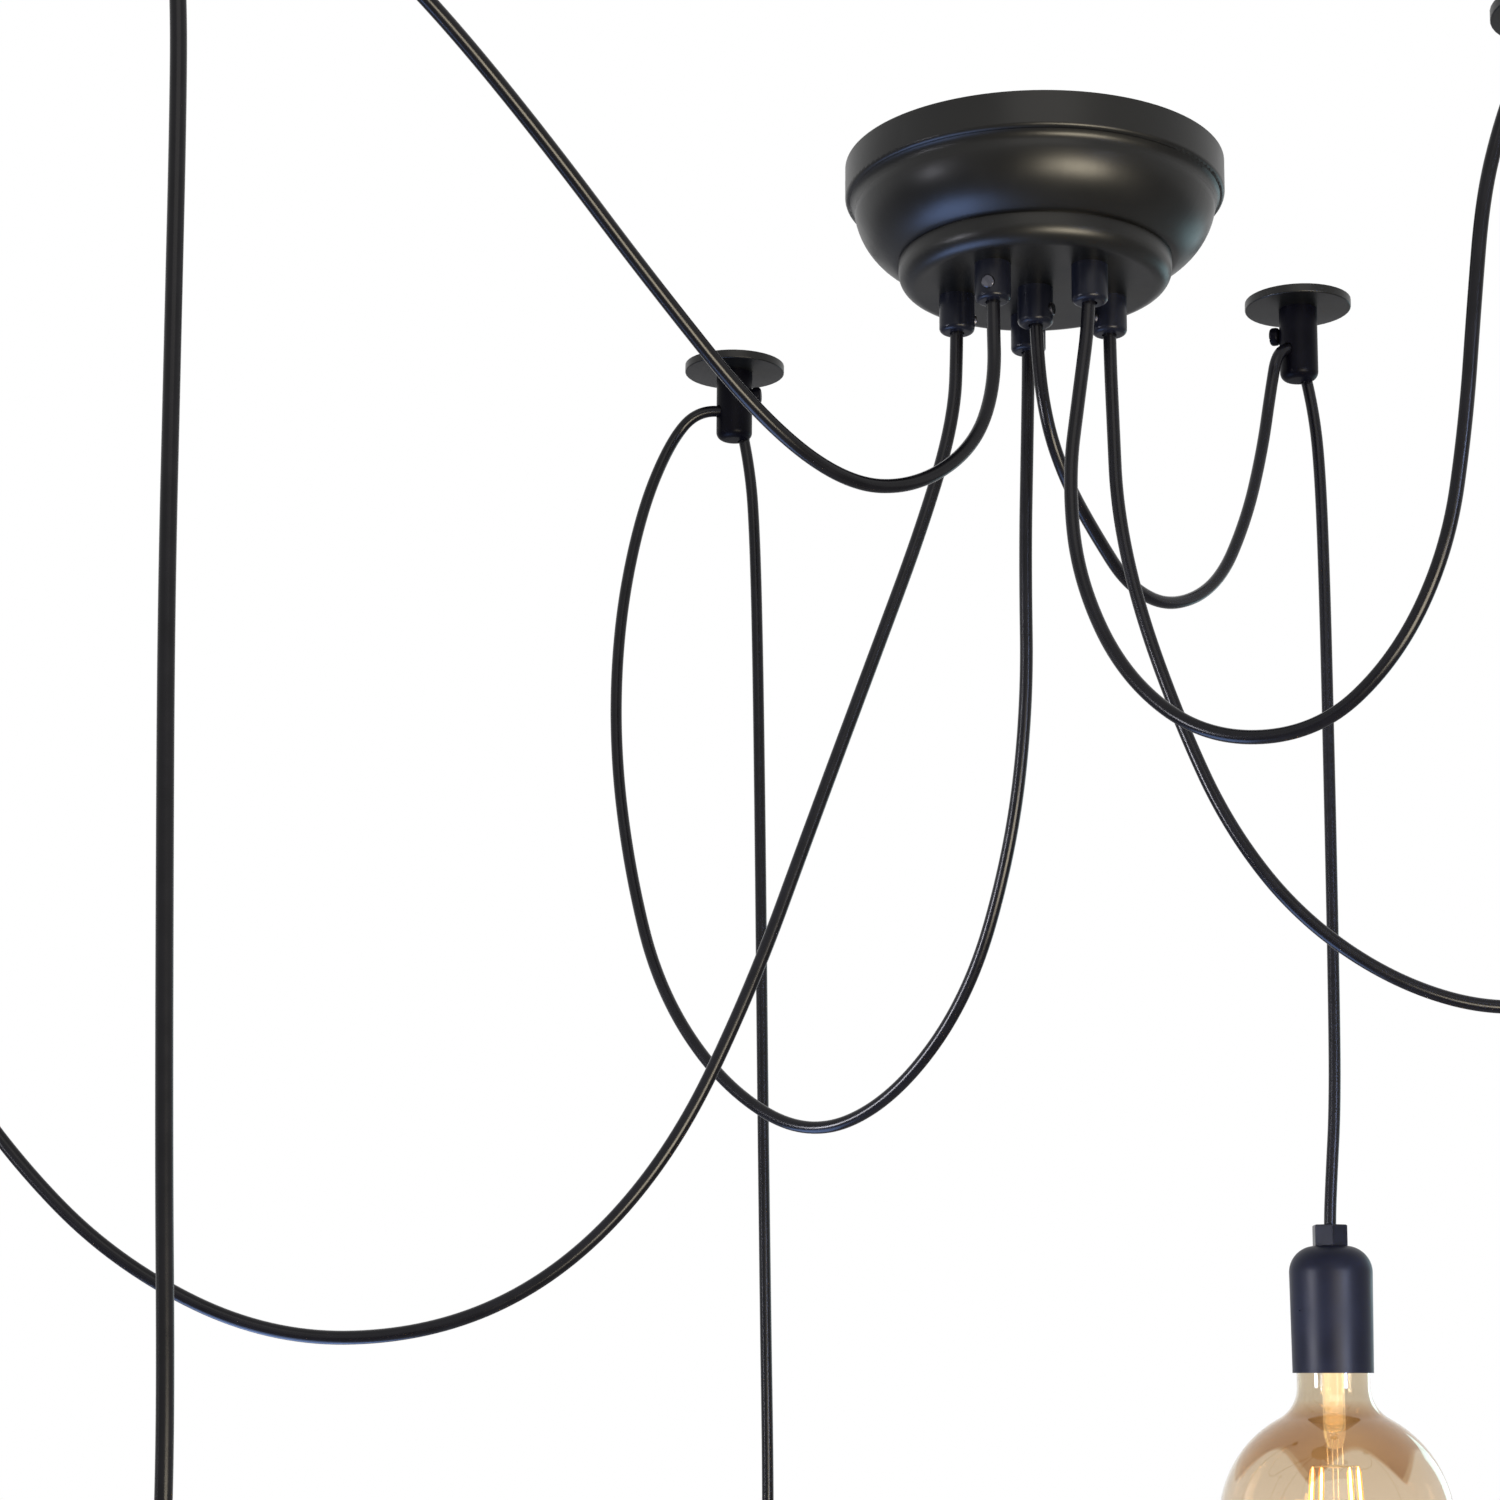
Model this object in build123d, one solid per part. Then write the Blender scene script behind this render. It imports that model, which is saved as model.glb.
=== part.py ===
from build123d import *
import os
from math import atan2, cos, radians, sin, tan

# Six-way spider ceiling light.  A stepped round canopy on the ceiling feeds six
# black cords.  Each cord swags to its own ceiling hook and drops to an E27
# lampholder with an amber globe bulb.  Millimetres, +Z up.
# Origin: the canopy's axis at the ceiling.  +Y points away from the viewer.

# ---------------------------------------------------------------- cord
CORD_D = 5.6
CORD_CLEARANCE = 0.35        # round a cord in a bore, on the radius
BEND_SHARE = 0.45            # of the shorter run, taken up by each side of a bend

# ---------------------------------------------------------------- canopy cover
CANOPY_D = 160.0
CANOPY_H = 53.0
CANOPY_WALL = 1.0
RING_H = 15.0                # band under the ceiling
RING_EDGE_R = 2.0            # its rounded lower edge
COVE_IN = 4.0                # how far the cove steps in from the band
COVE_H = 5.0
COVE_BOW = 0.8               # hollow of the cove, off its chord
BELLY_BOW = 3.6              # swell of the belly, off its chord
STEP_D = 117.0               # where the belly ends in a small step
STEP_DEPTH = 41.5
STEP_IN = 1.0
BOWL_WALL_H = 4.6            # upright part of the lower bowl
BOWL_EDGE_BOW = 2.2          # rounding of its lower edge, off the chord
FLOOR_D = 99.0               # flat underside, which holds the grips

# ---------------------------------------------------------------- ceiling bracket
BRACKET_W = 25.0
BRACKET_T = 1.5
BRACKET_GAP = 1.2            # between its ears and the cover's wall
EAR_H = 12.0
CEILING_HOLE_D = 5.0
CEILING_HOLE_PITCH = 90.0
EARTH_X = 36.0

# ---------------------------------------------------------------- screws in the cover
COVER_SCREW_D = 4.0
COVER_SCREW_DEPTH = 7.0      # below the ceiling
COVER_SCREW_L = 7.5
SCREW_CLEARANCE = 0.1
SLOT_W = 0.9
SLOT_DEPTH = 0.9
EARTH_SCREW_D = 4.0
EARTH_SCREW_L = 9.0
EARTH_HEAD_D = 8.0
EARTH_HEAD_H = 2.6

# ---------------------------------------------------------------- terminal block
TERMINALS = 12
TERMINAL_PITCH = 5.2
TERMINAL_W = 17.0
TERMINAL_H = 14.0
TERMINAL_HOLE_D = 3.0
TERMINAL_HOLE_DEPTH = 12.0   # below the ceiling
TERMINAL_EDGE_R = 1.5
TERMINAL_SCREW_D = 2.6
TERMINAL_SCREW_DEPTH = 3.0

# ---------------------------------------------------------------- core leads
LEAD_D = 1.9
LEAD_SPACING = 2.4           # between the two cores of a cord
LEAD_RISE = 8.0              # straight up from the cord's end
LEAD_BOW = 13.0              # how far it bows out from the block's side
LEAD_RUN_IN = 8.0            # straight into the terminal
LEAD_GRIP = 2.0              # how far a core reaches into its terminal

# ---------------------------------------------------------------- cord grips
GRIP_COUNT = 5               # on the circle; the sixth is in the middle
GRIP_CIRCLE_R = 34.0
GRIP_PHASE = 20.0
GRIP_D = 15.0
GRIP_L = 16.0
GRIP_EDGE_R = 2.2
GRIP_STUD_D = 10.0
GRIP_STUD_L = 8.0
STUD_CLEARANCE = 0.25
NUT_AF = 14.0
NUT_H = 3.0
GRIP_SCREW_D = 5.4
GRIP_SCREW_DEPTH = 9.8       # below the grip's top
GRIP_SCREW_PROUD = 0.8
GRIP_SCREW_SLOT_W = 1.2
GRIP_SCREW_ANGLES = {"a": 252, "b": 20, "c": 75, "d": 335, "e": 100, "f": 205}
CORD_ABOVE_FLOOR = 3.0       # cord left standing inside the cover

# ---------------------------------------------------------------- ceiling hooks
PLATE_D = 50.0
PLATE_T = 4.0
PLATE_EDGE_R = 0.6
STEM_D = 18.0
HOOK_H = 39.0                # ceiling to the stem's lower end
STEM_EDGE_R = 4.0
SPIGOT_D = 9.6
SPIGOT_L = 15.0
SPIGOT_CLEARANCE = 0.25
SPIGOT_END_GAP = 0.6
PLATE_HOLE_D = 4.5
PLATE_SINK_D = 8.6
SADDLE_DEPTH = 25.0          # where the cord turns over inside the stem
EXIT_OFFSET = 5.5            # from the stem's axis to the cord's way out
SADDLE_R = 5.6               # the cord's bend over the saddle, on its axis
PIVOT_UP = 0.3               # swing axis above the stem's lower end
SWING_GAP = 0.9              # between swag and drop, on the cord's axis
HOOK_SCREW_D = 4.0
HOOK_SCREW_DEPTH = 16.0
HOOK_SCREW_HEAD_D = 8.5
HOOK_SCREW_HEAD_H = 4.6
HOOK_SCREW_EDGE_R = 1.6

# Each hook: its place on the ceiling, the side the swag comes in from, the side
# of its screw (degrees, 0 = right), and the run from its mouth to the last bend.
HOOKS = {
    "a": {"at": (-292, -283), "swag_side": 15, "screw_side": 195, "mouth_run": 19},
    "b": {"at": (-560, 10), "swag_side": 350, "screw_side": 70, "mouth_run": 15},
    "c": {"at": (-138, 251), "swag_side": 205, "screw_side": 355, "mouth_run": 19},
    "d": {"at": (134, 159), "swag_side": 222, "screw_side": 160, "mouth_run": 15},
    "e": {"at": (187, -154), "swag_side": 185, "screw_side": 20, "mouth_run": 15},
    "f": {"at": (362, 0), "swag_side": 190, "screw_side": 110, "mouth_run": 15},
}

# ---------------------------------------------------------------- lampholder
HOLDER_D = 36.4              # at the mouth
HOLDER_TOP_D = 37.6          # under the dome
HOLDER_H = 57.0
HOLDER_WALL = 1.2
DOME_R = 12.0
HOLDER_GRIP_AF = 14.6
HOLDER_GRIP_H = 9.5
HOLDER_GRIP_CHAMFER = 0.5
HOLDER_STUD_D = 10.0
SLIT_W = 7.5                 # short level slit in the side
SLIT_H = 1.2
SLIT_UP = 28.0
SLIT_DEPTH = 0.7
SLIT_ANGLE = 222.0
CORE_CLEARANCE = 0.3         # round the ceramic core, at the holder's mouth
CORE_H = 12.0
CORE_EDGE_R = 4.0
SHELL_CLEARANCE = 0.45       # round the bulb's thread
SHELL_WALL = 0.5
CONTACT_D = 6.0
CONTACT_T = 1.0
CONTACT_GAP = 0.3

# ---------------------------------------------------------------- bulb
CAP_D = 26.2
CAP_ROOT_D = 24.4
CAP_THREAD_L = 20.0
CAP_THREADS = 5
CAP_SKIRT_H = 3.0
CAP_NECK_D = 18.0
CAP_GLASS_H = 3.0
BUTTON_D = 9.5
BUTTON_H = 1.4
CAP_WALL = 0.5
CAP_INSIDE_HOLDER = 9.0      # from the holder's mouth up to the cap's skirt
GLOBE_D = 105.0
GLOBE_DROP = 66.5            # mouth of the holder down to the globe's centre
GLASS_WALL = 0.8
NECK_D = 32.8
NECK_SHOULDER_H = 6.0        # the glass widens from the cap to the neck
FLARE_R = 16.0               # hollow curve from the neck into the globe
SEAT_GAP = 0.3               # between curved faces that seat on each other

# ---------------------------------------------------------------- filaments
STEM_FLANGE_T = 1.2          # closes the glass's open end
STEM_TUBE_D = 10.0
STEM_TUBE_DROP = 28.0        # its lower end, below the holder's mouth
STEM_TIP_D = 7.2
STEM_TIP_DROP = 33.3
STEM_TIP_BEVEL = 0.5
WIRE_D = 0.8
HUB_T = 1.2                  # thickness of the wires' hubs
OUTER_WIRE_R = 3.0
INNER_WIRE_R = 1.2
FILAMENTS = 4
FILAMENT_PHASE = 32.0
FILAMENT_D = 1.9
FILAMENT_TOP_R = 11.8
FILAMENT_FOOT_R = 14.6
FILAMENT_TOP_DROP = 41.5
FILAMENT_H = 38.0

# ---------------------------------------------------------------- cord routes
# Swags: points between the straight exit from the grip and the hook's mouth.
SWAG_EXIT = 3.0              # straight below the grip
SWAG_ROUTES = {
    "a": [
        (-18.5, -33, -107), (-28, -46, -137), (-51, -66, -159), (-78, -88, -165),
        (-110, -118, -149), (-151, -150, -105), (-185, -186, -68),
        (-216, -216, -37), (-239, -242, -20), (-260, -266, -18),
    ],
    "b": [
        (-34, 9, -107), (-48, 9, -155), (-69, 8, -213), (-93, 8, -279),
        (-118, 8, -349), (-150, 8, -417), (-194, 8, -465), (-247, 8, -489),
        (-311, 8, -490), (-373, 8, -460), (-420, 8, -414), (-460, 9, -357),
        (-491, 9, -293), (-516, 10, -223), (-532, 10, -155), (-542, 10, -98),
        (-546, 10, -58),
    ],
    "c": [
        (-2, 35, -109), (-3, 41, -159), (-2, 50, -221), (-9, 62, -282),
        (-27, 82, -344), (-61, 108, -387), (-98, 130, -400), (-137, 158, -374),
        (-168, 182, -327), (-184, 200, -267), (-193, 214, -204),
        (-193, 228, -140), (-184, 240, -81), (-170, 247, -41),
    ],
    "d": [
        (3.5, 3.5, -107), (13, 17, -131), (27, 37, -149), (43, 60, -166),
        (64, 85, -169), (88, 110, -152), (104, 130, -115), (114, 146, -77),
        (119, 152, -48),
    ],
    "e": [
        (16, -28, -108), (11, -31, -145), (14, -38, -189), (31, -52, -233),
        (61, -72, -262), (100, -93, -264), (128, -110, -239), (146, -123, -200),
        (152, -133, -155), (155, -141, -110), (158, -147, -73), (164, -152, -47),
    ],
    "f": [
        (33, 11, -108), (34, 9, -146), (42, 6, -189), (58, 3, -238),
        (77, 0, -283), (105, -3, -321), (143, -5, -348), (184, -6, -360),
        (225, -6, -353), (263, -5, -326), (292, -4, -283), (314, -3, -233),
        (328, -2, -180), (337, -1, -126), (343, 0, -78), (346, 0, -49),
    ],
}

# Drops: points from under the hook down to the lampholder, whose axis goes
# through the last one.
DROP_ROUTES = {
    "a": [
        (-295.4, -284.4, -59), (-294.2, -284.4, -100), (-293.2, -284.4, -175),
        (-292.1, -284.4, -262), (-289.4, -284.4, -350), (-286.3, -284.4, -440),
        (-284.0, -284.4, -492), (-282.9, -284.4, -526), (-282.6, -284.4, -556),
    ],
    "b": [
        (-565.9, 11, -59), (-566.7, 11, -100), (-567.9, 11, -175),
        (-569.2, 11, -290), (-570.0, 11, -400), (-570.3, 11, -462),
        (-570.4, 11, -500), (-570.4, 11.1, -532),
    ],
    "c": [
        (-129.6, 253.3, -56), (-127.4, 253.3, -88), (-125.6, 253.3, -145),
        (-123.8, 253.3, -240), (-121.8, 253.3, -370), (-119.8, 253.3, -480),
        (-118.9, 253.3, -522), (-118.4, 253.3, -552), (-118.2, 253.3, -580),
    ],
    "d": [
        (141.2, 162.7, -54), (143.4, 162.7, -84), (144.2, 162.7, -140),
        (144.2, 162.7, -235), (143.9, 162.7, -330), (143.2, 162.7, -382),
        (140.7, 162.7, -416), (139.4, 162.7, -437),
    ],
    "e": [
        (193.0, -153.5, -59), (193.6, -153.5, -100), (194.3, -153.5, -175),
        (194.9, -153.5, -300), (195.2, -153.5, -430), (195.3, -153.5, -492),
        (195.3, -153.6, -530), (195.4, -153.6, -562),
    ],
    "f": [
        (367.9, 1, -59), (368.6, 1, -100), (369.6, 1, -175), (370.6, 1, -290),
        (371.2, 1, -410), (371.4, 1, -475), (371.4, 1.1, -513),
        (371.5, 1.1, -545),
    ],
}


# ================================================================ shared shapes
def bend_radii(points):
    """One radius for each corner of a cord's route."""
    radii = []
    for before, corner, after in zip(points, points[1:], points[2:]):
        run_in = corner - before
        run_out = after - corner
        half_turn = radians(run_in.get_angle(run_out)) / 2
        radii.append(BEND_SHARE * min(run_in.length, run_out.length) / tan(half_turn))
    return radii


def tube_path(points, last_bend=None):
    """Straight runs joined by tangent arcs; the last arc may be given its own radius."""
    corners = [Vector(*point) for point in points]
    radii = bend_radii(corners)
    if last_bend is not None:
        radii[-1] = last_bend
    return FilletPolyline(*corners, radius=radii)


def tube(points, diameter, last_bend=None):
    """A round tube along a route."""
    path = tube_path(points, last_bend)
    start = Plane(origin=path @ 0, z_dir=path % 0)
    return sweep(start * Circle(diameter / 2), path=path)


def turned(*lines):
    """A solid of revolution about Z, from lines of (radius, height) in the XZ plane."""
    return revolve(Plane.XZ * make_face(lines), Axis.Z)


def bowed(start, end, bow):
    """An arc whose middle stands off its chord, to the left when the bow is positive."""
    start, end = Vector(*start), Vector(*end)
    chord = end - start
    middle = (start + end) / 2 + Vector(-chord.Y, chord.X).normalized() * bow
    return ThreePointArc(start, middle, end)


def quarter_bow(radius):
    """How far the middle of a quarter circle stands off its chord."""
    return radius * (1 - cos(radians(45)))


def turned_polygon(*points):
    """A solid of revolution from straight (radius, height) corners."""
    return turned(Polyline(*points, close=True))


def rod(diameter, length, at=(0, 0, 0), turn=(0, 0, 0)):
    """A round bar whose foot stands at a place, along its turned Z axis."""
    bar = Cylinder(diameter / 2, length, align=(Align.CENTER, Align.CENTER, Align.MIN))
    return Pos(*at) * Rot(*turn) * bar


def sideways(part, angle, at=(0, 0, 0)):
    """Lays a part that stands on its Z axis down, pointing at an angle in the XY plane."""
    return Pos(*at) * Rot(0, 0, angle) * Rot(0, 90, 0) * part


def polar(radius, angle):
    return radius * cos(radians(angle)), radius * sin(radians(angle))


def slotted(part, diameter, top, slot_width, slot_depth):
    """Cuts a screwdriver slot across the top of a screw."""
    slot = Pos(0, 0, top - slot_depth / 2) * Box(2 * diameter, slot_width, slot_depth)
    return part - slot


# ================================================================ canopy
def cover_outline(inset):
    """Half section of the cover, drawn smaller all round by the inset."""
    rim = CANOPY_D / 2 - inset
    cove = rim - COVE_IN
    ring_foot = RING_H - inset
    cove_foot = ring_foot + COVE_H
    step = STEP_D / 2 - inset
    step_depth = STEP_DEPTH - inset
    bowl = step - STEP_IN
    bowl_foot = step_depth + BOWL_WALL_H
    floor = CANOPY_H - inset
    flat = FLOOR_D / 2
    edge_top = (rim, -ring_foot + RING_EDGE_R)
    edge_foot = (rim - RING_EDGE_R, -ring_foot)
    return [
        Line((0, 0), (rim, 0)),
        Line((rim, 0), edge_top),
        bowed(edge_top, edge_foot, quarter_bow(RING_EDGE_R)),
        bowed(edge_foot, (cove, -cove_foot), -COVE_BOW),
        bowed((cove, -cove_foot), (step, -step_depth), BELLY_BOW),
        Line((step, -step_depth), (bowl, -step_depth)),
        Line((bowl, -step_depth), (bowl, -bowl_foot)),
        bowed((bowl, -bowl_foot), (flat, -floor), BOWL_EDGE_BOW),
        Line((flat, -floor), (0, -floor)),
        Line((0, -floor), (0, 0)),
    ]


def grip_places():
    """The grip axes: one in the middle, for cord d, and the others on a circle."""
    places = {"d": (0.0, 0.0)}
    for count, name in enumerate("fcbae"):
        places[name] = polar(GRIP_CIRCLE_R, GRIP_PHASE + count * 360 / GRIP_COUNT)
    return places


def canopy_cover():
    cover = turned(*cover_outline(0)) - turned(*cover_outline(CANOPY_WALL))
    for x, y in grip_places().values():
        hole_d = GRIP_STUD_D + 2 * STUD_CLEARANCE
        cover -= rod(hole_d, 3 * CANOPY_WALL, (x, y, -CANOPY_H - CANOPY_WALL))
    hole = rod(COVER_SCREW_D + 2 * SCREW_CLEARANCE, CANOPY_D)
    return cover - sideways(hole, 0, (-CANOPY_D / 2, 0, -COVER_SCREW_DEPTH))


def ear_x():
    """Outer face of the bracket's ears."""
    return CANOPY_D / 2 - CANOPY_WALL - BRACKET_GAP


def ceiling_bracket():
    strap = Pos(0, 0, -BRACKET_T / 2) * Box(2 * ear_x(), BRACKET_W, BRACKET_T)
    ear = Box(BRACKET_T, BRACKET_W, EAR_H)
    for side in (-1, 1):
        strap += Pos(side * (ear_x() - BRACKET_T / 2), 0, -EAR_H / 2) * ear
    for side in (-1, 1):
        place = (side * CEILING_HOLE_PITCH / 2, 0, -2 * BRACKET_T)
        strap -= rod(CEILING_HOLE_D, 3 * BRACKET_T, place)
    strap -= rod(EARTH_SCREW_D + 2 * SCREW_CLEARANCE, 3 * BRACKET_T, (EARTH_X, 0, -2 * BRACKET_T))
    hole = rod(COVER_SCREW_D + 2 * SCREW_CLEARANCE, CANOPY_D)
    return strap - sideways(hole, 0, (-CANOPY_D / 2, 0, -COVER_SCREW_DEPTH))


def cover_screws():
    screw = rod(COVER_SCREW_D, COVER_SCREW_L)
    screw = slotted(screw, COVER_SCREW_D, COVER_SCREW_L, SLOT_W, SLOT_DEPTH)
    start = CANOPY_D / 2 - COVER_SCREW_L
    return [
        sideways(screw, angle, (*polar(start, angle), -COVER_SCREW_DEPTH))
        for angle in (0, 180)
    ]


def earth_screw():
    head = rod(EARTH_HEAD_D, EARTH_HEAD_H, (0, 0, -EARTH_HEAD_H))
    head = fillet(head.edges().sort_by(Axis.Z)[0], EARTH_HEAD_H * 0.4)
    slot = Pos(0, 0, -EARTH_HEAD_H + SLOT_DEPTH / 2)
    head -= slot * Box(2 * EARTH_HEAD_D, SLOT_W, SLOT_DEPTH)
    shank_l = BRACKET_T
    return Pos(EARTH_X, 0, -BRACKET_T) * (head + rod(EARTH_SCREW_D, shank_l))


# ================================================================ wiring in the canopy
def terminal_x(number):
    return (number - (TERMINALS - 1) / 2) * TERMINAL_PITCH


def terminal_block():
    length = TERMINALS * TERMINAL_PITCH
    top = -BRACKET_T
    block = Pos(0, 0, top - TERMINAL_H / 2) * Box(length, TERMINAL_W, TERMINAL_H)
    block = fillet(block.edges().filter_by(Axis.X), TERMINAL_EDGE_R)
    for number in range(TERMINALS):
        x = terminal_x(number)
        wire_hole = rod(TERMINAL_HOLE_D, TERMINAL_W * 2, (x, TERMINAL_W, 0), (90, 0, 0))
        block -= Pos(0, 0, -TERMINAL_HOLE_DEPTH) * wire_hole
        screw_hole = (x, 0, top - TERMINAL_H)
        block -= rod(TERMINAL_SCREW_D, TERMINAL_SCREW_DEPTH, screw_hole)
    return block


def cord_top():
    """Height of the cords' inner ends, above the cover's floor."""
    return -CANOPY_H + CANOPY_WALL + NUT_H + CORD_ABOVE_FLOOR


# The first terminal of each cord, and the side of the block its cores go in from.
TERMINAL_OF_CORD = {"b": (0, 1), "c": (5, 1), "f": (10, 1), "a": (2, -1), "d": (5, -1), "e": (8, -1)}


def core_leads():
    leads = []
    for name, (x, y) in grip_places().items():
        first, side = TERMINAL_OF_CORD[name]
        face_y = side * TERMINAL_W / 2
        for core in (0, 1):
            start_x = x + (core - 0.5) * LEAD_SPACING
            end_x = terminal_x(first + core)
            rise_z = cord_top() + LEAD_RISE
            middle = ((start_x + end_x) / 2, face_y + side * LEAD_BOW)
            route = [
                (start_x, y, cord_top()),
                (start_x, y, rise_z),
                (*middle, (rise_z - TERMINAL_HOLE_DEPTH) / 2),
                (end_x, face_y + side * LEAD_RUN_IN, -TERMINAL_HOLE_DEPTH),
                (end_x, face_y - side * LEAD_GRIP, -TERMINAL_HOLE_DEPTH),
            ]
            leads.append(tube(route, LEAD_D))
    return leads


# ================================================================ cord grips
def cord_bore_d():
    return CORD_D + 2 * CORD_CLEARANCE


def cord_grips():
    grip = rod(GRIP_D, GRIP_L, (0, 0, -GRIP_L))
    grip = fillet(grip.edges().filter_by(GeomType.CIRCLE).sort_by(Axis.Z)[0], GRIP_EDGE_R)
    grip += rod(GRIP_STUD_D, GRIP_STUD_L)
    grip -= rod(cord_bore_d(), GRIP_L + GRIP_STUD_L, (0, 0, -GRIP_L))
    hole = rod(GRIP_SCREW_D + 2 * SCREW_CLEARANCE, GRIP_D)
    grips = []
    for name, (x, y) in grip_places().items():
        bored = grip - sideways(hole, GRIP_SCREW_ANGLES[name], (0, 0, -GRIP_SCREW_DEPTH))
        grips.append(Pos(x, y, -CANOPY_H) * bored)
    return grips


def grip_nuts():
    nut = extrude(RegularPolygon(NUT_AF / 2, 6, major_radius=False), NUT_H)
    nut -= rod(GRIP_STUD_D + 2 * STUD_CLEARANCE, NUT_H)
    height = -CANOPY_H + CANOPY_WALL
    return [Pos(x, y, height) * nut for x, y in grip_places().values()]


def grip_screws():
    tip = cord_bore_d() / 2
    length = GRIP_D / 2 + GRIP_SCREW_PROUD - tip
    screw = rod(GRIP_SCREW_D, length, (0, 0, tip))
    rim = screw.edges().filter_by(GeomType.CIRCLE).sort_by(Axis.Z)[-1]
    screw = chamfer(rim, 0.4)
    screw = slotted(screw, GRIP_SCREW_D, tip + length, GRIP_SCREW_SLOT_W, SLOT_DEPTH)
    depth = -CANOPY_H - GRIP_SCREW_DEPTH
    return [
        sideways(Rot(0, 0, 35) * screw, GRIP_SCREW_ANGLES[name], (x, y, depth))
        for name, (x, y) in grip_places().items()
    ]


# ================================================================ ceiling hooks
def saddle_route(hook, reach):
    """The cord's way over the saddle: in from the side, and out at the bottom."""
    x, y = hook["at"]
    in_x, in_y = polar(reach, hook["swag_side"])
    out_x, out_y = polar(-EXIT_OFFSET, hook["swag_side"])
    return [
        (x + in_x, y + in_y, -SADDLE_DEPTH),
        (x + out_x, y + out_y, -SADDLE_DEPTH),
    ]


def pivot(hook):
    """Where the drop hangs from: the swing axis goes through this point."""
    x, y = hook["at"]
    out_x, out_y = polar(-EXIT_OFFSET, hook["swag_side"])
    return (x + out_x, y + out_y, -HOOK_H + PIVOT_UP)


def hook_plates():
    plate = rod(PLATE_D, PLATE_T, (0, 0, -PLATE_T))
    plate = fillet(plate.edges().filter_by(GeomType.CIRCLE).sort_by(Axis.Z)[0], PLATE_EDGE_R)
    foot = -PLATE_T - SPIGOT_L
    plate += rod(SPIGOT_D, SPIGOT_L, (0, 0, foot))
    plate -= rod(PLATE_HOLE_D, -2 * foot, (0, 0, 1.5 * foot))
    sink_h = (PLATE_SINK_D - PLATE_HOLE_D) / 2
    sink = turned_polygon(
        (0, foot), (PLATE_SINK_D / 2, foot), (PLATE_HOLE_D / 2, foot + sink_h), (0, foot + sink_h)
    )
    plate -= sink
    return [Pos(*hook["at"], 0) * plate for hook in HOOKS.values()]


def hook_stems():
    stem_l = HOOK_H - PLATE_T
    stem = rod(STEM_D, stem_l, (0, 0, -HOOK_H))
    stem = fillet(stem.edges().filter_by(GeomType.CIRCLE).sort_by(Axis.Z)[0], STEM_EDGE_R)
    socket_l = SPIGOT_L + SPIGOT_END_GAP
    stem -= rod(SPIGOT_D + 2 * SPIGOT_CLEARANCE, socket_l, (0, 0, -PLATE_T - socket_l))
    side_hole = rod(HOOK_SCREW_D + 2 * SCREW_CLEARANCE, STEM_D)
    stems = []
    for name, hook in HOOKS.items():
        x, y = hook["at"]
        placed = Pos(x, y, 0) * stem
        channel = swag_route(name)[-4:-1]
        end_x, end_y, _ = pivot(hook)
        channel.append((end_x, end_y, -2 * HOOK_H))
        placed -= tube(channel, cord_bore_d(), SADDLE_R)
        placed -= sideways(side_hole, hook["screw_side"], (x, y, -HOOK_SCREW_DEPTH))
        stems.append(placed)
    return stems


def hook_screws():
    tip = SPIGOT_D / 2 + SEAT_GAP
    seat = STEM_D / 2
    head = rod(HOOK_SCREW_HEAD_D, HOOK_SCREW_HEAD_H, (0, 0, seat))
    head = fillet(head.edges().filter_by(GeomType.CIRCLE), HOOK_SCREW_EDGE_R)
    top = seat + HOOK_SCREW_HEAD_H
    head = slotted(head, HOOK_SCREW_HEAD_D, top, SLOT_W, SLOT_DEPTH)
    screw = head + rod(HOOK_SCREW_D, seat - tip, (0, 0, tip))
    return [
        sideways(Rot(0, 0, 50) * screw, hook["screw_side"], (*hook["at"], -HOOK_SCREW_DEPTH))
        for hook in HOOKS.values()
    ]


# ================================================================ cords
def swag_route(name):
    hook = HOOKS[name]
    x, y = grip_places()[name]
    exit_z = -CANOPY_H - GRIP_L - SWAG_EXIT
    route = [(x, y, cord_top()), (x, y, exit_z)]
    route += SWAG_ROUTES[name]
    route += saddle_route(hook, hook["mouth_run"])
    end_x, end_y, end_z = pivot(hook)
    route.append((end_x, end_y, end_z + SWING_GAP))
    return route


def holder_mouth(name):
    """Where the middle of a lampholder's mouth hangs: its cord goes on down to the core."""
    x, y, grip_top = DROP_ROUTES[name][-1]
    return x, y, grip_top - HOLDER_H - HOLDER_GRIP_H


def drop_route(name):
    x, y, mouth = holder_mouth(name)
    return [pivot(HOOKS[name])] + DROP_ROUTES[name] + [(x, y, mouth + core_top())]


def report_cord(label, points, solid, last_bend=None):
    """Prints a cord's length, its bends and its volume against section times length."""
    corners = [Vector(*point) for point in points]
    length = tube_path(points, last_bend).length
    radii = [round(radius) for radius in bend_radii(corners)]
    section = 3.14159265 * CORD_D ** 2 / 4
    ratio = solid.volume / (section * length)
    print(f"{label}: length {length:.0f} mm, volume ratio {ratio:.4f}, radii {radii}")


# ================================================================ lampholder
# Drawn with the mouth at height 0 and +Z up.
def holder_grip():
    hexagon = RegularPolygon(HOLDER_GRIP_AF / 2, 6, major_radius=False)
    grip = extrude(Rot(0, 0, 30) * hexagon, HOLDER_GRIP_H)
    grip = chamfer(grip.faces().sort_by(Axis.Z)[-1].edges(), HOLDER_GRIP_CHAMFER)
    stud_l = HOLDER_H - core_top()
    grip += rod(HOLDER_STUD_D, stud_l, (0, 0, -stud_l))
    grip -= rod(cord_bore_d(), HOLDER_GRIP_H + stud_l, (0, 0, -stud_l))
    return Pos(0, 0, HOLDER_H) * grip


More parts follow.
